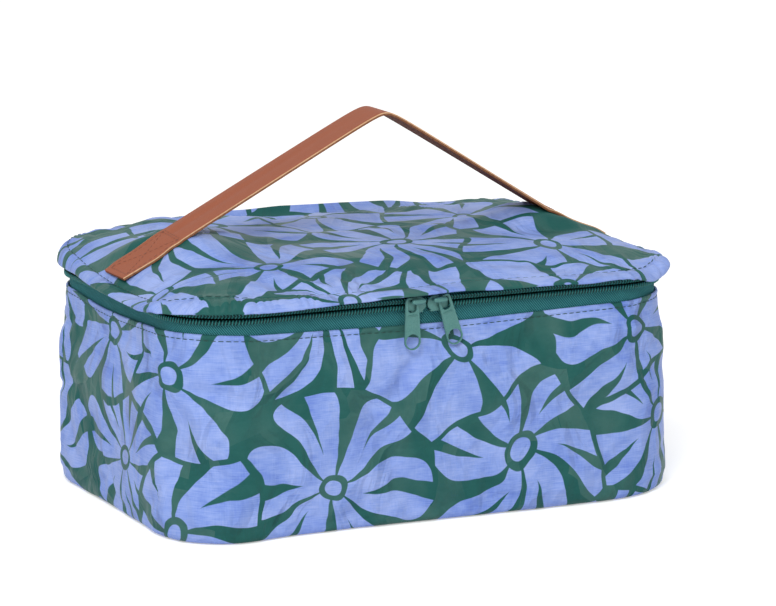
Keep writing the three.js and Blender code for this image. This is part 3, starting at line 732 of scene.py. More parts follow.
def lid_height(point, s, inset):
    """Top of the lid (mm) at a point that lies inset from the stitch line."""
    x, y = abs(point.x), abs(point.y)
    u, v = min(1, x / (HALF_LENGTH + STITCH_OUT)), min(1, y / (HALF_DEPTH + STITCH_OUT))
    rim = around(s, STITCH_OUT)
    z = lid_edge_height(point.y) + CROWN * (1 - u ** 6) * (1 - v ** 3)
    z += (through(LID_SEAM, s) - lid_edge_height(rim.y)) * max(0, 1 - inset / 60) ** 2
    # The handle's pull: a tent that is higher, wider and longer at the left.
    if point.x < 0:
        peak, decay, across = 11, 18, (y / 28) ** 4
    else:
        peak, decay, across = 9.4, 12, (y / 19) ** 6
    past = max(0, x - SEWN_END)
    tent = math.exp(-(((x - SEWN_END - past) / 30) ** 2) + (4 - math.hypot(past, 4)) / decay)
    z += math.exp(-across) * (1 - u ** 24) * (peak * tent + 1.2 * hump(x - 123, 8))
    # A low ridge runs between the two tents.
    z += 1.6 * hump(point.y - 2 * ripple(point, 30, 7), 6.5) * smooth((88 - x) / 24)
    # The cloth stands higher behind the handle's left end, and ripples where it is free.
    free = smooth(inset / 9)
    z += 3.6 * free * math.exp(-(((point.x + 70) / 40) ** 2) - ((point.y - 60) / 36) ** 2)
    z += free * (0.9 * ripple(point, 44, 8) + 0.4 * ripple(point, 19, 9) + 0.3 * ripple(point, 9, 18))
    z += free * sampled(
        lid_rises, point.x / LID_CELL + LID_COLUMNS / 2, point.y / LID_CELL + LID_LINES / 2)
    pressed = smooth((15 - y) / 5) * smooth((x - SEWN_END + 4) / 6) * free
    return z - 0.5 * pressed


def gather(s):
    """Size of the puckers (mm) that the lid's stitching draws into the cloth."""
    d = abs(s)
    corners = smooth((d - 84) / 16) * smooth((168 - d) / 20)
    corners += 0.5 * smooth((d - 246) / 16) * smooth((322 - d) / 14)
    pinched = hump(s + 86, 26)
    front = smooth((250 - d) / 20)
    return 0.1 + 0.25 * front + (0.15 + 1.9 * front) * max(corners, pinched)


def pucker(s):
    """The puckers themselves: rounded puffs that meet in sharp dips."""
    at = Vector((s, 0, 0))
    beat = math.sin(s * math.pi / 4.4 + 5.5 * ripple(at, 17, 10))
    bunched = hump(s - 128, 12)
    puffs = abs(beat) ** 0.5 * (0.6 + 1.5 * ripple(at, 11, 11) + 0.7 * bunched) - 0.36
    return gather(s) * puffs * smooth((REAR_MIDDLE - abs(s)) / 8)


def flap_line(s, f):
    """The flap's outside from the stitch line at f 0 to its edge at f 1, as (out, height)."""
    seam, edge, hood = through(LID_SEAM, s), through(FLAP_EDGE, s), through(FLAP_HOOD, s)
    turn = f * math.pi / 2
    out = through(FLAP_REACH, s) * (f + (math.sin(turn) - f) * hood)
    droop = f ** 1.9 + (1 - math.cos(turn) - f ** 1.9) * hood
    wave = 0.5 * ripple(around(s), 17, 12) * f
    dip = 0.4 * hump(f, 0.07)
    puffed = pucker(s) * max(0, 1 - f)
    folded = 1.1 * pucker(s) * math.sin(math.pi * min(max(f, 0), 1)) ** 0.7
    return Vector((STITCH_OUT + out + folded, seam + (edge - seam) * droop + 0.45 * puffed + wave - dip))


def lid_point(s, row):
    part, value = row
    if part == "top":
        share = value / HALF_DEPTH
        point = around(s, STITCH_OUT * (1 - share), 0, value)
        dip = 0.4 * hump(value, 0.7)
        point.z = lid_height(point, s, value) + 0.45 * pucker(s) * math.exp(-value / 4) - dip
    else:
        at = 1 if part == "edge" else value
        line = flap_line(s, at)
        ahead = (flap_line(s, at + 0.04) - flap_line(s, at - 0.04)).normalized()
        up = Vector((-ahead.y, ahead.x))
        if part == "edge":
            angle = math.radians(value)
            line += FLAP_FOLD * (ahead * math.cos(angle) + up * (math.sin(angle) - 1))
        elif part == "underside":
            line -= 2 * FLAP_FOLD * up
        point = around(s, line.x, line.y)
    return point, (point.x + 460, point.y + 130, 0)


LID_ROWS = (
    [("underside", f) for f in (0.2, 0.35, 0.5, 0.65, 0.8, 0.92)]
    + [("edge", -90 + 45 * i) for i in range(5)]
    + [("flap", f) for f in (0.93, 0.84, 0.74, 0.64, 0.54, 0.44, 0.34, 0.25, 0.17, 0.1, 0.05)]
    + [("top", t) for t in (0, 0.5, 1, 1.6, 2.3, 3.1, 4, 5, 6.2, 7.6, 9.2, 11, 13)]
    + [("top", 13 + 2.5 * i) for i in range(1, 31)]
)
lid_places = spaced([
    (-REAR_MIDDLE, 1), (-300, 2.2), (-150, 1.2), (-50, 0.75),
    (85, 1.2), (165, 0.75), (260, 1.3), (REAR_MIDDLE, 2.2)])
lid_cloth = cloth("lid_cloth", lid_places, LID_ROWS, lid_point, CLOTH)
dress(lid_cloth, printed_cloth, "printed_cloth", "lid", "lid_panel")

# Stitching: dark green thread. One row runs through the hem of the body, and another round the lid
# on the line where the flap starts. Each stitch is a short raised dash that dives into the cloth.
THREAD = 0.42
LID_PITCH = 4.2


def speckled(name, size, detail, dark, light, **constants):
    """A finish of fine specks, which are size (m) along each axis."""
    finish = Finish(name, **constants)
    speck = finish.grain(finish.place(), size, detail)
    return finish.done(Base_Color=finish.mix(speck, dark, light), Normal=finish.bump(speck, 0.05))


def thread_finish(name, dark, light):
    return speckled(name, (0.0006, 0.0006, 0.0006), 1, dark, light, Roughness=0.6)


def copies(name, template, places):
    """One object of a template mesh set at each of the places, which are matrices (mm)."""
    bm = bmesh.new()
    for place in places:
        turned = template.copy()
        turned.transform(place)
        turned.transform(Matrix.Scale(MM, 4))
        bm.from_mesh(turned)
        bpy.data.meshes.remove(turned)
    return finished(name, bm)


def facing(origin, along, outward):
    """A matrix (mm) whose X runs along and whose Z looks outward."""
    x = along.normalized()
    y = outward.cross(x).normalized()
    z = x.cross(y)
    return Matrix.Translation(origin) @ Matrix((x, y, z)).transposed().to_4x4()


def dash(length, width, height):
    """The mesh of a stitch or a tooth: a slim bead (mm) along X."""
    bm = bmesh.new()
    bmesh.ops.create_uvsphere(bm, u_segments=6, v_segments=6, radius=0.5)
    bmesh.ops.rotate(bm, cent=(0, 0, 0), matrix=Matrix.Rotation(math.pi / 2, 3, "Y"), verts=bm.verts)
    bmesh.ops.scale(bm, vec=(length, width, height), verts=bm.verts)
    mesh = bpy.data.meshes.new("dash")
    bm.to_mesh(mesh)
    bm.free()
    return mesh


def stitch_row(place_at, places, lift):
    """Matrices for stitches at places along a line; place_at gives the line's point and side."""
    made = []
    for here, there in zip(places, places[1:]):
        a, b = place_at(here)[0], place_at(there)[0]
        point, outward = place_at((here + there) / 2)
        made.append(facing(point + outward * lift, b - a, outward))
    return made


def hem_stitch(s):
    z = through(HEM_HEIGHTS, s) - HEM_STITCH_BELOW
    point = around(s, wall_out(s, z), z)
    return point, (around(s, 10, z) - around(s, 0, z)).normalized()


def lid_stitch(s):
    return lid_point(s, ("top", 0))[0], Vector((0, 0, 1))


green_thread = thread_finish("green_thread", (0.007, 0.044, 0.037, 1), (0.020, 0.080, 0.068, 1))
hem_places = []
for first, last in ((-SIDE_SEAM + 3, SIDE_SEAM - 3), (SIDE_SEAM + 3, 2 * REAR_MIDDLE - SIDE_SEAM - 3)):
    hem_places += stitch_row(hem_stitch, spaced([(first, 1), (last, HEM_PITCH)]), 0.1)
hem_stitches = copies("hem_stitches", dash(2.7, THREAD, THREAD), hem_places)
dress(hem_stitches, green_thread, "zip_tape", "body")
lid_row = stitch_row(lid_stitch, spaced([(-REAR_MIDDLE, 1), (REAR_MIDDLE, LID_PITCH)]), 0.12)
lid_stitches = copies("lid_stitches", dash(3.0, THREAD, THREAD), lid_row)
dress(lid_stitches, green_thread, "zip_tape", "lid")

# Zip tapes: two strips of twill woven in dark teal. The lower one stands up from behind the hem,
# and the upper one hangs from the lid's stitch line, turned in flat under the lid.
TAPE_OUT = -1.7
TAPE = 0.6
CHAIN = 103.7
TAPE_EDGE = 0.85
TAPE_BEND = 0.8
RIB = 1.2
PICK = 0.62


def tape_finish():
    finish = Finish("twill_tape", Roughness=0.85, Specular_IOR_Level=0.15)
    where = finish.flat()
    x, y, _ = finish.split(where)
    ribs = ((x + y * 0.85) * (2 * math.pi / RIB)).math("SINE") * 0.5 + 0.5
    picks = ((y - x * 0.3) * (2 * math.pi / PICK)).math("SINE") * 0.5 + 0.5
    twill = ribs * 0.75 + picks * 0.25
    wear_and_sheen = finish.grain(where, (9, 4, 5), 3)
    tone = (twill * 0.95 + wear_and_sheen * 0.3 - 0.15).clamped()
    colour = finish.mix(tone, (0.004, 0.062, 0.070, 1), (0.070, 0.320, 0.345, 1))
    return finish.done(Base_Color=colour, Normal=finish.bump(twill, 0.35))


twill_tape = tape_finish()


def lower_tape_point(s, z):
    wave = 0.12 * ripple(around(s, 0, z), 16, 13) * smooth((z - 88) / 8)
    return around(s, TAPE_OUT + wave, z), (s, z, 0)


tape_places = spaced([(-wall_ends, 1), (wall_ends, 2.5)])
lower_rows = spaced([(86, 1), (94, 4), (CHAIN - TAPE_EDGE, 1.2)])
lower_tape = cloth("lower_tape", tape_places, lower_rows, lower_tape_point, TAPE)
dress(lower_tape, twill_tape, "zip_tape", "body", "lower_zip_tape")


def upper_tape_point(s, row):
    """The upper tape stands up to the lid, bends, and lies flat under its edge."""
    part, value = row
    start, top = CHAIN + TAPE_EDGE, through(LID_SEAM, s) - 2.1
    if part == "stand":
        z = start + (top - TAPE_BEND - start) * value
        return around(s, TAPE_OUT, z), (s, z, 0)
    if part == "bend":
        angle = math.radians(value)
        z = top - TAPE_BEND + TAPE_BEND * math.sin(angle)
        return around(s, TAPE_OUT - TAPE_BEND * (1 - math.cos(angle)), z), (s, z, 0)
    return around(s, TAPE_OUT - TAPE_BEND - value, top), (s, top + value, 0)


upper_rows = (
    [("stand", i / 5) for i in range(6)]
    + [("bend", 30 * i) for i in range(1, 4)]
    + [("flat", 1.7), ("flat", 3.4)]
)
upper_tape = cloth("upper_tape", tape_places, upper_rows, upper_tape_point, TAPE)
dress(upper_tape, twill_tape, "zip_tape", "lid", "upper_zip_tape")

# Zip coil: a row of small nylon teeth sewn on each tape. The lower row shows straight legs, and
# the upper one legs that meet in chevrons. The CAD's beads stay behind them as the core, coloured
# near black as painted shade in the gaps between the teeth.
TOOTH_PITCH = 1.5
TOOTH_OUT = 0.6
LOWER_COIL = 102.15
UPPER_COIL = 105.25


def coil_finish(name, dark, light, roughness):
    return speckled(
        name, (0.0011, 0.0011, 0.0007), 2, dark, light, Roughness=roughness, Specular_IOR_Level=0.25)


def recoat(node, material):
    """Gives a CAD node that keeps its own shape another material."""
    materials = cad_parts[node].data.materials
    materials.clear()
    materials.append(material)


# The core's near-black colour is painted shade between the teeth.
coil_core_painted_shade = coil_finish("coil_core_painted_shade", (0.001, 0.020, 0.020, 1), (0.004, 0.045, 0.044, 1), 0.6)
coil_tooth = coil_finish("coil_tooth", (0.010, 0.130, 0.125, 1), (0.045, 0.300, 0.285, 1), 0.4)
recoat("lower_zip_coil", coil_core_painted_shade)
recoat("upper_zip_coil", coil_core_painted_shade)


def teeth(height, slant):
    """Matrices for teeth along the zip, leaning by slant (degrees)."""
    made = []
    lean = math.radians(slant)
    for i in range(int(2 * (SIDE_SEAM - 3) / TOOTH_PITCH)):
        s = -SIDE_SEAM + 3 + i * TOOTH_PITCH
        outward = (around(s, 10) - around(s)).normalized()
        along = Vector((-outward.y, outward.x, 0)) * math.sin(lean) + Vector((0, 0, math.cos(lean)))
        made.append(facing(around(s, TOOTH_OUT, height), along, outward))
    return made


lower_teeth = copies("lower_teeth", dash(2.7, 0.66, 0.9), teeth(LOWER_COIL + 0.1, 14))
dress(lower_teeth, coil_tooth, "zip_coil", "body")
chevrons = teeth(UPPER_COIL + 0.55, -36) + teeth(UPPER_COIL - 0.5, 36)
upper_teeth = copies("upper_teeth", dash(1.6, 0.6, 0.86), chevrons)
dress(upper_teeth, coil_tooth, "zip_coil", "lid")

# Cloth hinge: behind the bag a strip of the printed cloth takes the place of the zip. It is sewn in
# behind the rear hem and under the lid's rear edge, and it folds at the height of the zip's chain.
def hinge_point(s, row):
    if row[0] == "low":
        point, (x, y, _) = around(s, TAPE_OUT, row[1]), (s, row[1], 0)
    else:
        point, (x, y, _) = upper_tape_point(s, row)
    return point, (x + 90, y + 40, 0)


low_rows = (86, 90, 94, 97, 99, 100.5, 101, 101.5, 102, 102.5, 103, 103.5, 104, 104.5)
hinge_rows = [("low", z) for z in low_rows] + upper_rows[1:]
hinge_cloth = cloth("hinge_cloth", back_places, hinge_rows, hinge_point, CLOTH)
dress(hinge_cloth, printed_cloth, "printed_cloth", None, "lower_hinge", "upper_hinge")
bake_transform(hinge_cloth)

# Handle: a strap of smooth brown leatherette in two plies, sewn flat on the lid at each end and
# standing up between them to a sharp fold. Its cut edges are pale, and its underside is coloured
# darker, with darker edges, as painted shade.
PLY = 0.72
SIDE_MIDDLE = (SIDE_START + SIDE_END) / 2
PEAK_HEIGHT = 182.8
PEAK_X = 8.4
PEAK_ROUNDING = 5
SEAT_GAP = 0.35
LAID_END = 117
END_HEIGHTS = (111.2, 112.4)
PORE = 0.55


def strap_middle(x, y):
    """Height (mm) between the strap's two plies."""
    def seat(x):
        inset = HALF_LENGTH + STITCH_OUT - abs(x)
        s = math.copysign(SIDE_MIDDLE + y / (1 - inset / HALF_DEPTH), x)
        return lid_height(Vector((x, y, 0)), s, inset) + SEAT_GAP + PLY

    if abs(x) >= SEWN_END:
        # The sewn end is stiff, and stays straight where the lid falls away at its edge.
        resting, end = seat(math.copysign(LAID_END, x)), END_HEIGHTS[x > 0]
        straight = resting + (end - resting) * (abs(x) - LAID_END) / (STRAP_END - LAID_END)
        return max(seat(x), straight) if abs(x) > LAID_END else seat(x)
    left, right = seat(-SEWN_END), seat(SEWN_END)
    rising = left + (PEAK_HEIGHT - left) * (x + SEWN_END) / (PEAK_X + SEWN_END)
    falling = right + (PEAK_HEIGHT - right) * (SEWN_END - x) / (SEWN_END - PEAK_X)
    return 0.5 * (rising + falling - math.hypot(rising - falling, PEAK_ROUNDING))


def strap_frame(x, y):
    """The strap's middle point at x and y, and the direction that its top faces."""
    step = 0.4
    a, b = strap_middle(x - step, y), strap_middle(x + step, y)
    return Vector((x, y, strap_middle(x, y))), Vector((a - b, 0, 2 * step)).normalized()


strap_places = spaced([
    (-STRAP_END, 1), (-SEWN_END - 2, 1.6), (-SEWN_END + 6, 0.8), (PEAK_X - 16, 3),
    (PEAK_X + 16, 0.8), (SEWN_END - 6, 3), (SEWN_END + 2, 0.8), (STRAP_END, 1.6)])
across_strap = spaced([(-STRAP_HALF_WIDTH, 1), (STRAP_HALF_WIDTH, 1.5)])


def leather_finish(name, dark, light, edge_dark, edge_light, gloss):
    finish = Finish(name, Specular_IOR_Level=gloss)
    where = finish.flat()
    _, y, _ = finish.split(where)
    rim = (STRAP_HALF_WIDTH - 0.2 - y.math("ABSOLUTE")).below(0, 0.06)
    pores = finish.node("ShaderNodeTexVoronoi", {}, {"Vector": where, "Scale": 1 / PORE}, "Distance")
    rubbed = finish.grain(where, (14, 5, 6), 3)
    fibres = finish.grain(where, (1.2, 0.4, 0.4), 3)
    face = finish.mix(rubbed * 0.8 + pores * 0.25, dark, light)
    edge = finish.mix(fibres, edge_dark, edge_light)
    height = pores * (1 - rim) + fibres * rim
    return finish.done(
        Base_Color=finish.mix(rim, face, edge),
        Roughness=rubbed * 0.14 + rim * 0.2 + 0.52,
        Normal=finish.bump(height, 0.07),
    )


strap_brown = leather_finish(
    "strap_brown", (0.307, 0.092, 0.047, 1), (0.378, 0.121, 0.066, 1),
    (0.560, 0.290, 0.150, 1), (0.860, 0.560, 0.330, 1), 0.12)
# The bottom ply's darker browns are painted shade: the same leatherette, coloured as if in shadow.
strap_underside_painted_shade = leather_finish(
    "strap_underside_painted_shade", (0.200, 0.066, 0.034, 1), (0.270, 0.095, 0.052, 1),
    (0.190, 0.070, 0.034, 1), (0.360, 0.160, 0.080, 1), 0.02)


def strap_ply(name, sign, material):
    """One ply of the strap, above or below its middle."""
    def place(x, y):
        point, up = strap_frame(x, y)
        return point + up * (sign * (PLY / 2 + 0.04)), (x, y, 0)

    ply = cloth(name, strap_places, across_strap, place, PLY - 0.06, 0)
    bevel = ply.modifiers.new("cut edge", "BEVEL")
    bevel.width = 0.18 * MM
    bevel.segments = 2
    bevel.limit_method = "ANGLE"
    bevel.angle_limit = math.radians(50)
    dress(ply, material, "strap", None)
    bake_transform(ply)
    return ply


strap_top = strap_ply("strap_top", 1, strap_brown)
strap_ply("strap_bottom", -1, strap_underside_painted_shade)
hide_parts("handle_left_end", "handle_right_end", "handle_arch")

# Strap stitching: at each sewn end a box crossed corner to corner in brown thread, closed by a
# double row across its inner side that takes the handle's pull.
brown_thread = thread_finish("brown_thread", (0.120, 0.036, 0.018, 1), (0.220, 0.072, 0.040, 1))
BOX_OUTER = STRAP_END - 2.5
BOX_INNER = SEWN_END + 1
BOX_HALF = STRAP_HALF_WIDTH - 2.6
BOX_PITCH = 2.6


def oblong(start, end, low, high):
    """The four corners of a rectangle."""
    return [(start, low), (end, low), (end, high), (start, high)]


def box_stitches(side):
    """Matrices for the crossed box at one end of the strap."""
    box = oblong(side * BOX_OUTER, side * BOX_INNER, -BOX_HALF, BOX_HALF)
    corners = [Vector(corner) for corner in box]
    inner = Vector((side * 1.1, 0))
    lines = [(corners[i], corners[j]) for i, j in ((0, 1), (1, 2), (2, 3), (3, 0), (0, 2), (1, 3))]
    lines.append((corners[1] + inner, corners[2] + inner))
    made = []
    for start, end in lines:
        count = round((end - start).length / BOX_PITCH)
        for i in range(count):
            x, y = start.lerp(end, (i + 0.5) / count)
            point, up = strap_frame(x, y)
            along = (end - start).to_3d()
            made.append(facing(point + up * (PLY + 0.03), along - up * along.dot(up), up))
    return made


strap_stitches = copies("strap_stitches", dash(2.1, 0.36, 0.3), box_stitches(-1) + box_stitches(1))
dress(strap_stitches, brown_thread, "strap", "lid")

# Sliders: cast metal painted green. Each has a shield in front of the teeth and one behind, joined
# at the nose, and a bridge on the shield that carries the pull.
SLIDER_XS = (-14.3, -3.2)
SHIELD_INSIDE = 1.1
SHIELD_OUTSIDE = 2.3
BACK_OUTSIDE = -2.6
BACK_INSIDE = -3.8
BAIL_RISE = 1.6
BAIL_REACH = 2.7
BAIL_OUT = 5.2


def metal_finish():
    finish = Finish("painted_metal", Metallic=0.2, Specular_IOR_Level=0.35)
    where = finish.place()
    grit = finish.grain(where, (0.0005, 0.0005, 0.0005), 3)
    patchy = finish.grain(where, (0.004, 0.004, 0.004), 2)
    colour = finish.mix(grit * 0.7 + patchy * 0.3, (0.030, 0.145, 0.135, 1), (0.130, 0.290, 0.268, 1))
    return finish.done(Base_Color=colour, Roughness=patchy * 0.2 + 0.3, Normal=finish.bump(grit, 0.06))


painted_metal = metal_finish()


def thicken(bm, faces, depth):
    """Extrudes front faces back by depth (mm), and gives the points of their back."""
    grown = bmesh.ops.extrude_face_region(bm, geom=faces)["geom"]
    back = [v for v in grown if isinstance(v, bmesh.types.BMVert)]
    bmesh.ops.translate(bm, vec=(0, depth, 0), verts=back)
    return back


def ease(bm, edges, width):
    """Rounds edges off by width (mm)."""
    bmesh.ops.bevel(
        bm, geom=edges, offset=width, offset_type="OFFSET", segments=2, profile=0.5,
        affect="EDGES", material=-1)


def plate(bm, outline, inside, outside, edge):
    """A flat plate (mm) in the plane of the zip between two depths, its rims beveled by edge."""
    verts = [bm.verts.new((x, -outside, z)) for x, z in outline]
    whole = verts + thicken(bm, [bm.faces.new(verts)], outside - inside)
    faces = list({f for v in whole for f in v.link_faces})
    bmesh.ops.recalc_face_normals(bm, faces=faces)
    rims = [e for e in {e for v in whole for e in v.link_edges}
            if abs(e.verts[0].co.y - e.verts[1].co.y) < 1e-6]
    ease(bm, rims, edge)


def shield_outline(nose):
    """The outline of a slider's shield, its wide rounded nose towards +X or -X."""
    points = [(-5.2, -1.9), (-4.6, -2.6), (-2.6, -3.0)]
    points += [(0.9 + 4.3 * math.sin(math.radians(a)), -3.8 * math.cos(math.radians(a)) ** 0.9)
               for a in (-30, -10, 10, 30, 50, 66, 80)]
    points += [(x, -z) for x, z in reversed(points)]
    return [(nose * x, z) for x, z in points]


def bar_between(bm, a, b, radius, end_radius, segments=12):
    """A round bar (mm) between two points, swelling from end_radius at its ends to radius."""
    length = (b - a).length
    made = bmesh.ops.create_uvsphere(bm, u_segments=segments, v_segments=12, radius=1)["verts"]
    for v in made:
        t = v.co.z
        ring = math.hypot(v.co.x, v.co.y)
        thick = end_radius + (radius - end_radius) * (1 - t * t)
        round_off = min(1, ring * 1.9)
        if ring > 1e-6:
            v.co.x *= thick * round_off / ring
            v.co.y *= thick * round_off / ring
        v.co.z = t * length / 2
    turn = (b - a).to_track_quat("Z", "Y").to_matrix().to_4x4()
    bmesh.ops.transform(bm, matrix=Matrix.Translation((a + b) / 2) @ turn, verts=made)


def placed(name, bm, at):
    """An object from a bmesh in mm that was made about its own middle."""
    bmesh.ops.translate(bm, vec=at, verts=bm.verts)
    bmesh.ops.scale(bm, vec=(MM, MM, MM), verts=bm.verts)
    return finished(name, bm)


def slider(name, x, nose):
    """A slider at x whose nose points towards +X (1) or -X (-1)."""
    bm = bmesh.new()
    plate(bm, shield_outline(nose), SHIELD_INSIDE, SHIELD_OUTSIDE, 0.35)
    plate(bm, shield_outline(nose), BACK_INSIDE, BACK_OUTSIDE, 0.35)
    web = oblong(nose * 1.6, nose * 4.6, -0.28, 0.28)
    plate(bm, web, BACK_OUTSIDE - 0.2, SHIELD_INSIDE + 0.2, 0.05)
    lip = oblong(nose * -2.2, nose * 3.6, -3.9, -3.1)
    plate(bm, lip, -1.3, SHIELD_OUTSIDE - 0.2, 0.2)
    rise = BAIL_RISE + 0.2
    bar_between(bm, Vector((-3.6, -BAIL_OUT, rise)), Vector((3.6, -BAIL_OUT, rise)), 1.36, 1.0)
    for side in (-1, 1):
        foot = Vector((side * BAIL_REACH, -SHIELD_OUTSIDE + 0.3, BAIL_RISE))
        bar_between(bm, foot, Vector((side * BAIL_REACH, -BAIL_OUT - 0.2, BAIL_RISE)), 0.55, 0.6)
    return placed(name, bm, Vector((x, -HALF_DEPTH, CHAIN)))


for word, x, nose in (("left", SLIDER_XS[0], 1), ("right", SLIDER_XS[1], -1)):
    made = slider(f"slider_body_{word}", x, nose)
    dress(made, painted_metal, "zip_metal", f"slider_{word[0]}", f"slider_{word}")

# Pulls: a stamped tab hangs by its eye from the outer end of each bridge. Its rims stand a little
# proud, a ridge crosses it below the eye, and a round hole takes a finger or a cord.
PULL_INSIDE = 2.7
PULL_OUTSIDE = 3.9
PULL_TOP = 2.1
PULL_LENGTH = 24.7
PULL_HALF_TOP = 3.3
PULL_HALF_BOTTOM = 4.1
PULL_RIM = 0.72
EYE_HALF = 2.15
RIDGE_Z = -6.4
RIDGE_HALF = 2.5


def arc(z, half, rise, angles):
    """Points (mm) on an oval round a middle that lies z above the bridge's leg."""
    turns = [math.radians(a) for a in angles]
    return [(half * math.cos(a), z + rise * math.sin(a)) for a in turns]


def shoulders(half, top, radius):
    """Points (mm) over two rounded corners, from right to left."""
    turns = [math.radians(a) for a in range(0, 91, 15)]
    right = [(half - radius * (1 - math.cos(a)), top - radius * (1 - math.sin(a))) for a in turns]
    return right + [(-x, z) for x, z in reversed(right)]


def pull_loops():
    """Outlines (mm) of the tab, its eye and its finger hole, about the bridge's leg."""
    hole_z = PULL_TOP - PULL_LENGTH + PULL_HALF_BOTTOM
    hole = PULL_HALF_BOTTOM - PULL_RIM
    tab = arc(hole_z, PULL_HALF_BOTTOM, PULL_HALF_BOTTOM, range(180, 361, 12))
    tab += shoulders(PULL_HALF_TOP, PULL_TOP, 1.9)
    eye = arc(-3.6, EYE_HALF, 1.5, range(180, 361, 20)) + shoulders(EYE_HALF, 1.0, 0.8)
    return tab, eye, arc(hole_z, hole, hole, range(0, 360, 12))


def pull(name, pivot_x, lean):
    """A pull that hangs at pivot_x, its end swung by lean (degrees) to the right."""
    bm = bmesh.new()
    for loop in pull_loops():
        verts = [bm.verts.new((x, -PULL_OUTSIDE, z)) for x, z in loop]
        for a, b in zip(verts, verts[1:] + verts[:1]):
            bm.edges.new((a, b))
    bmesh.ops.triangle_fill(bm, use_beauty=True, edges=bm.edges)
    thicken(bm, list(bm.faces), PULL_OUTSIDE - PULL_INSIDE)
    bmesh.ops.recalc_face_normals(bm, faces=bm.faces)
    panel = [f for f in bm.faces if f.normal.y < -0.9]
    bmesh.ops.inset_region(bm, faces=panel, thickness=0.5, depth=0, use_even_offset=True)
    panel = [f for f in panel if f.is_valid]
    inner = list({v for f in panel for v in f.verts})
    bmesh.ops.translate(bm, vec=(0, 0.22, 0), verts=inner)
    rims = [e for e in bm.edges if e.is_manifold and e.calc_face_angle(0) > math.radians(60)]
    ease(bm, rims, 0.2)
    ridge = [Vector((x, -PULL_OUTSIDE + 0.1, RIDGE_Z)) for x in (-RIDGE_HALF, RIDGE_HALF)]
    bar_between(bm, *ridge, 0.28, 0.2, 8)
    swing = Matrix.Rotation(-math.radians(lean), 3, "Y")
    bmesh.ops.rotate(bm, cent=(0, 0, 0), matrix=swing, verts=bm.verts)
    return placed(name, bm, Vector((pivot_x, -HALF_DEPTH, CHAIN + BAIL_RISE)))


for word, x, lean in (("left", SLIDER_XS[0] - BAIL_REACH, 1), ("right", SLIDER_XS[1] + BAIL_REACH, 17)):
    made = pull(f"pull_{word}", x, lean)
    dress(made, painted_metal, "zip_metal", f"pull_{word[0]}", f"pull_tab_{word}")

# Padding: pale foam between the cloth and the lining, in the walls and in the lid. It gives the bag
# its body and doesn't show once the bag is sewn.
FOAM = 3
FOAM_CELLS = 1400
PLY_GAP = 0.6


def foam_finish():
    finish = Finish("pale_foam", Roughness=0.95)
    cells = finish.node("ShaderNodeTexVoronoi", {}, {
        "Vector": finish.place(), "Scale": FOAM_CELLS}, "Distance")
    return finish.done(
        Base_Color=finish.mix(cells, (0.60, 0.58, 0.52, 1), (0.82, 0.80, 0.75, 1)),
        Normal=finish.bump(cells, 0.1))


pale_foam = foam_finish()
full_round = spaced([(-REAR_MIDDLE, 1), (REAR_MIDDLE, 3)])
foam_rows = [("wall", i / 26) for i in range(27)]
wall_padding = cloth(
    "wall_padding", full_round, foam_rows, lambda s, row: wall_point(s, row, CLOTH + PLY_GAP), FOAM)
dress(wall_padding, pale_foam, "foam", "body", "wall_foam")
LID_PAD_INSET = 8


def lid_layer(s, inset, depth):
    """A point inset from the lid's stitch line and depth under the lid's top."""
    point = around(s, STITCH_OUT * (1 - inset / HALF_DEPTH), 0, inset)
    point.z = lid_height(point, s, inset) - depth
    return point, (point.x, point.y, 0)


pad_rows = spaced([(LID_PAD_INSET, 1), (20, 2), (HALF_DEPTH, 3)])
lid_padding = cloth(
    "lid_padding", full_round, pad_rows, lambda s, t: lid_layer(s, t, CLOTH + PLY_GAP), FOAM)
dress(lid_padding, pale_foam, "foam", "lid", "lid_foam")

# Lining: thin dark green cloth inside. The walls' part is sewn in with the zip tape and hangs to the
# floor, where a loose panel lies on the board. The lid has its own, sewn in under its edge.
LINING = 0.4
LINING_DEPTH = CLOTH + FOAM + 2 * PLY_GAP
LINING_OUT = -2.75
WEAVE = 0.7
FLOOR_TOP = 3.3


def lining_finish():
    finish = Finish("lining_cloth", Roughness=0.7)
    where = finish.flat()
    x, y, _ = finish.split(where)
    weave = (x * (2 * math.pi / WEAVE)).math("SINE") * (y * (2 * math.pi / WEAVE)).math("SINE")
    wear_and_sheen = finish.grain(where, (20, 14, 10), 3)
    colour = finish.mix(wear_and_sheen, (0.012, 0.072, 0.060, 1), (0.032, 0.135, 0.112, 1))
    return finish.done(Base_Color=colour, Normal=finish.bump(weave * 0.5 + 0.5, 0.05))


lining_cloth = lining_finish()


def lining_point(s, row):
    part, value = row
    if part == "hung":
        top = through(HEM_HEIGHTS, s) - 0.5
        z = top + (FLOOR_TOP - top) * value
        near_top = smooth((top - z) / 8)
        hung = wall_out(s, max(z, BASE_FOLD)) - LINING_DEPTH
        point = around(s, LINING_OUT + (hung - LINING_OUT) * near_top, z)
        point += (around(s) - around(s, 1)) * (0.7 * (1 + ripple(point, 21, 14)) * near_top)
        return point, (s, z, 0)
    edge = wall_out(s, BASE_FOLD) - LINING_DEPTH - LINING
    point = around(s, edge * (1 - value), FLOOR_TOP, HALF_DEPTH * value)
    point.z += 0.25 * (1 + ripple(point, 30, 15)) * smooth(value * 8)
    return point, (point.x, point.y, 0)


hung_rows = [("hung", t) for t in spaced([(1, 1), (0.12, 0.04), (0, 0.015)])]
lining_walls = cloth("lining_walls", full_round, list(reversed(hung_rows)), lining_point, LINING)
dress(lining_walls, lining_cloth, "lining_cloth", "body", "wall_lining")
floor_rows = [("floor", t) for t in spaced([(0, 1), (0.1, 0.025), (1, 0.06)])]
lining_floor = cloth("lining_floor", full_round, floor_rows, lining_point, LINING)
dress(lining_floor, lining_cloth, "lining_cloth", "body", "floor_lining")


def lid_lining_point(s, inset):
    return lid_layer(s, inset, 2.8 + 2.7 * smooth((inset - 2.5) / 4.5))


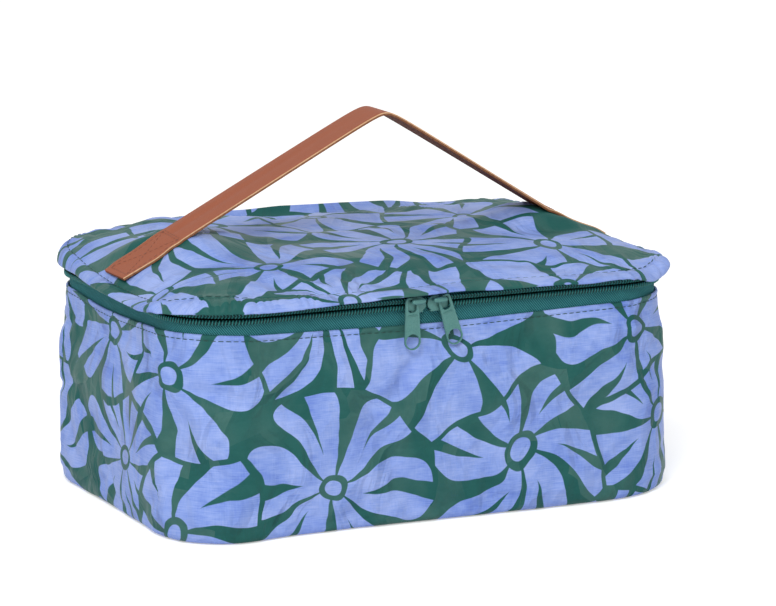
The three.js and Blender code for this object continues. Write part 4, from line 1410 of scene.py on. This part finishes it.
under_rows = spaced([(1.8, 1), (8, 1), (20, 2), (HALF_DEPTH, 3)])
under_places = spaced([(REAR_MIDDLE, 1), (-REAR_MIDDLE, 3)])
lining_lid = cloth("lining_lid", under_places, under_rows, lid_lining_point, LINING)
dress(lining_lid, lining_cloth, "lining_cloth", "lid", "lid_lining")

# Base board: the stiff grey sheet under the floor lining is the CAD's own solid.
recoat("base_board", speckled(
    "grey_board", (0.004, 0.0012, 0.002), 3, (0.035, 0.038, 0.042, 1), (0.075, 0.080, 0.088, 1),
    Roughness=0.75))

# Studio: a white floor that keeps the bag's shadow, white surroundings, and one soft lamp in front
# of the bag, to its left and above it.
def straight(nodes):
    """1 for what the camera sees, straight or by way of gloss or glass, and 0 for other light."""
    rays = nodes.node("ShaderNodeLightPath", {}, [], None)
    seen, glossy, passed = nodes.wires(rays, "Is Camera Ray", "Is Glossy Ray", "Is Transmission Ray")
    return seen.math("MAXIMUM", glossy).math("MAXIMUM", passed)


floor_bm = bmesh.new()
bmesh.ops.create_grid(floor_bm, x_segments=8, y_segments=8, size=8)
floor = finished("studio_floor", floor_bm)
floor.location.z = -0.0004
floor_finish = Finish("studio_white", Roughness=0.9, Specular_IOR_Level=0.1, Emission_Strength=1)
floor_tone = floor_finish.grain(floor_finish.place(), (0.5, 0.5, 0.5), 1)
floor.data.materials.append(floor_finish.done(
    Base_Color=floor_finish.mix(floor_tone, (0.93, 0.93, 0.93, 1), (0.95, 0.95, 0.95, 1)),
    Emission_Color=floor_finish.mix(straight(floor_finish), (0, 0, 0, 1), (0.42, 0.42, 0.42, 1))))

# The camera and the gloss see a pure white room, which lights the bag with less than that.
world = bpy.data.worlds.new("studio")
world.use_nodes = True
room = Nodes(world.node_tree)
dim = room.tree.nodes["Background"]
dim.inputs["Color"].default_value = (1, 1, 1, 1)
dim.inputs["Strength"].default_value = 0.62
white = room.node("ShaderNodeBackground", {}, {"Color": (1, 1, 1, 1)})
surface = room.node("ShaderNodeMixShader", {}, [straight(room), *room.wires(dim, 0), white])
room.tree.links.new(surface.socket, room.tree.nodes["World Output"].inputs["Surface"])
bpy.context.scene.world = world

LAMP_AT = Vector((-0.85, -1.25, 1.25))
LAMP_AIM = Vector((0, 0, 0.06))
key = bpy.data.objects.new("key_lamp", bpy.data.lights.new("key_lamp", "AREA"))
key.data.shape = "DISK"
key.data.size = 0.7
key.data.energy = 17.5
key.location = LAMP_AT
key.rotation_euler = (LAMP_AIM - LAMP_AT).to_track_quat("-Z", "Y").to_euler()
bpy.context.scene.collection.objects.link(key)
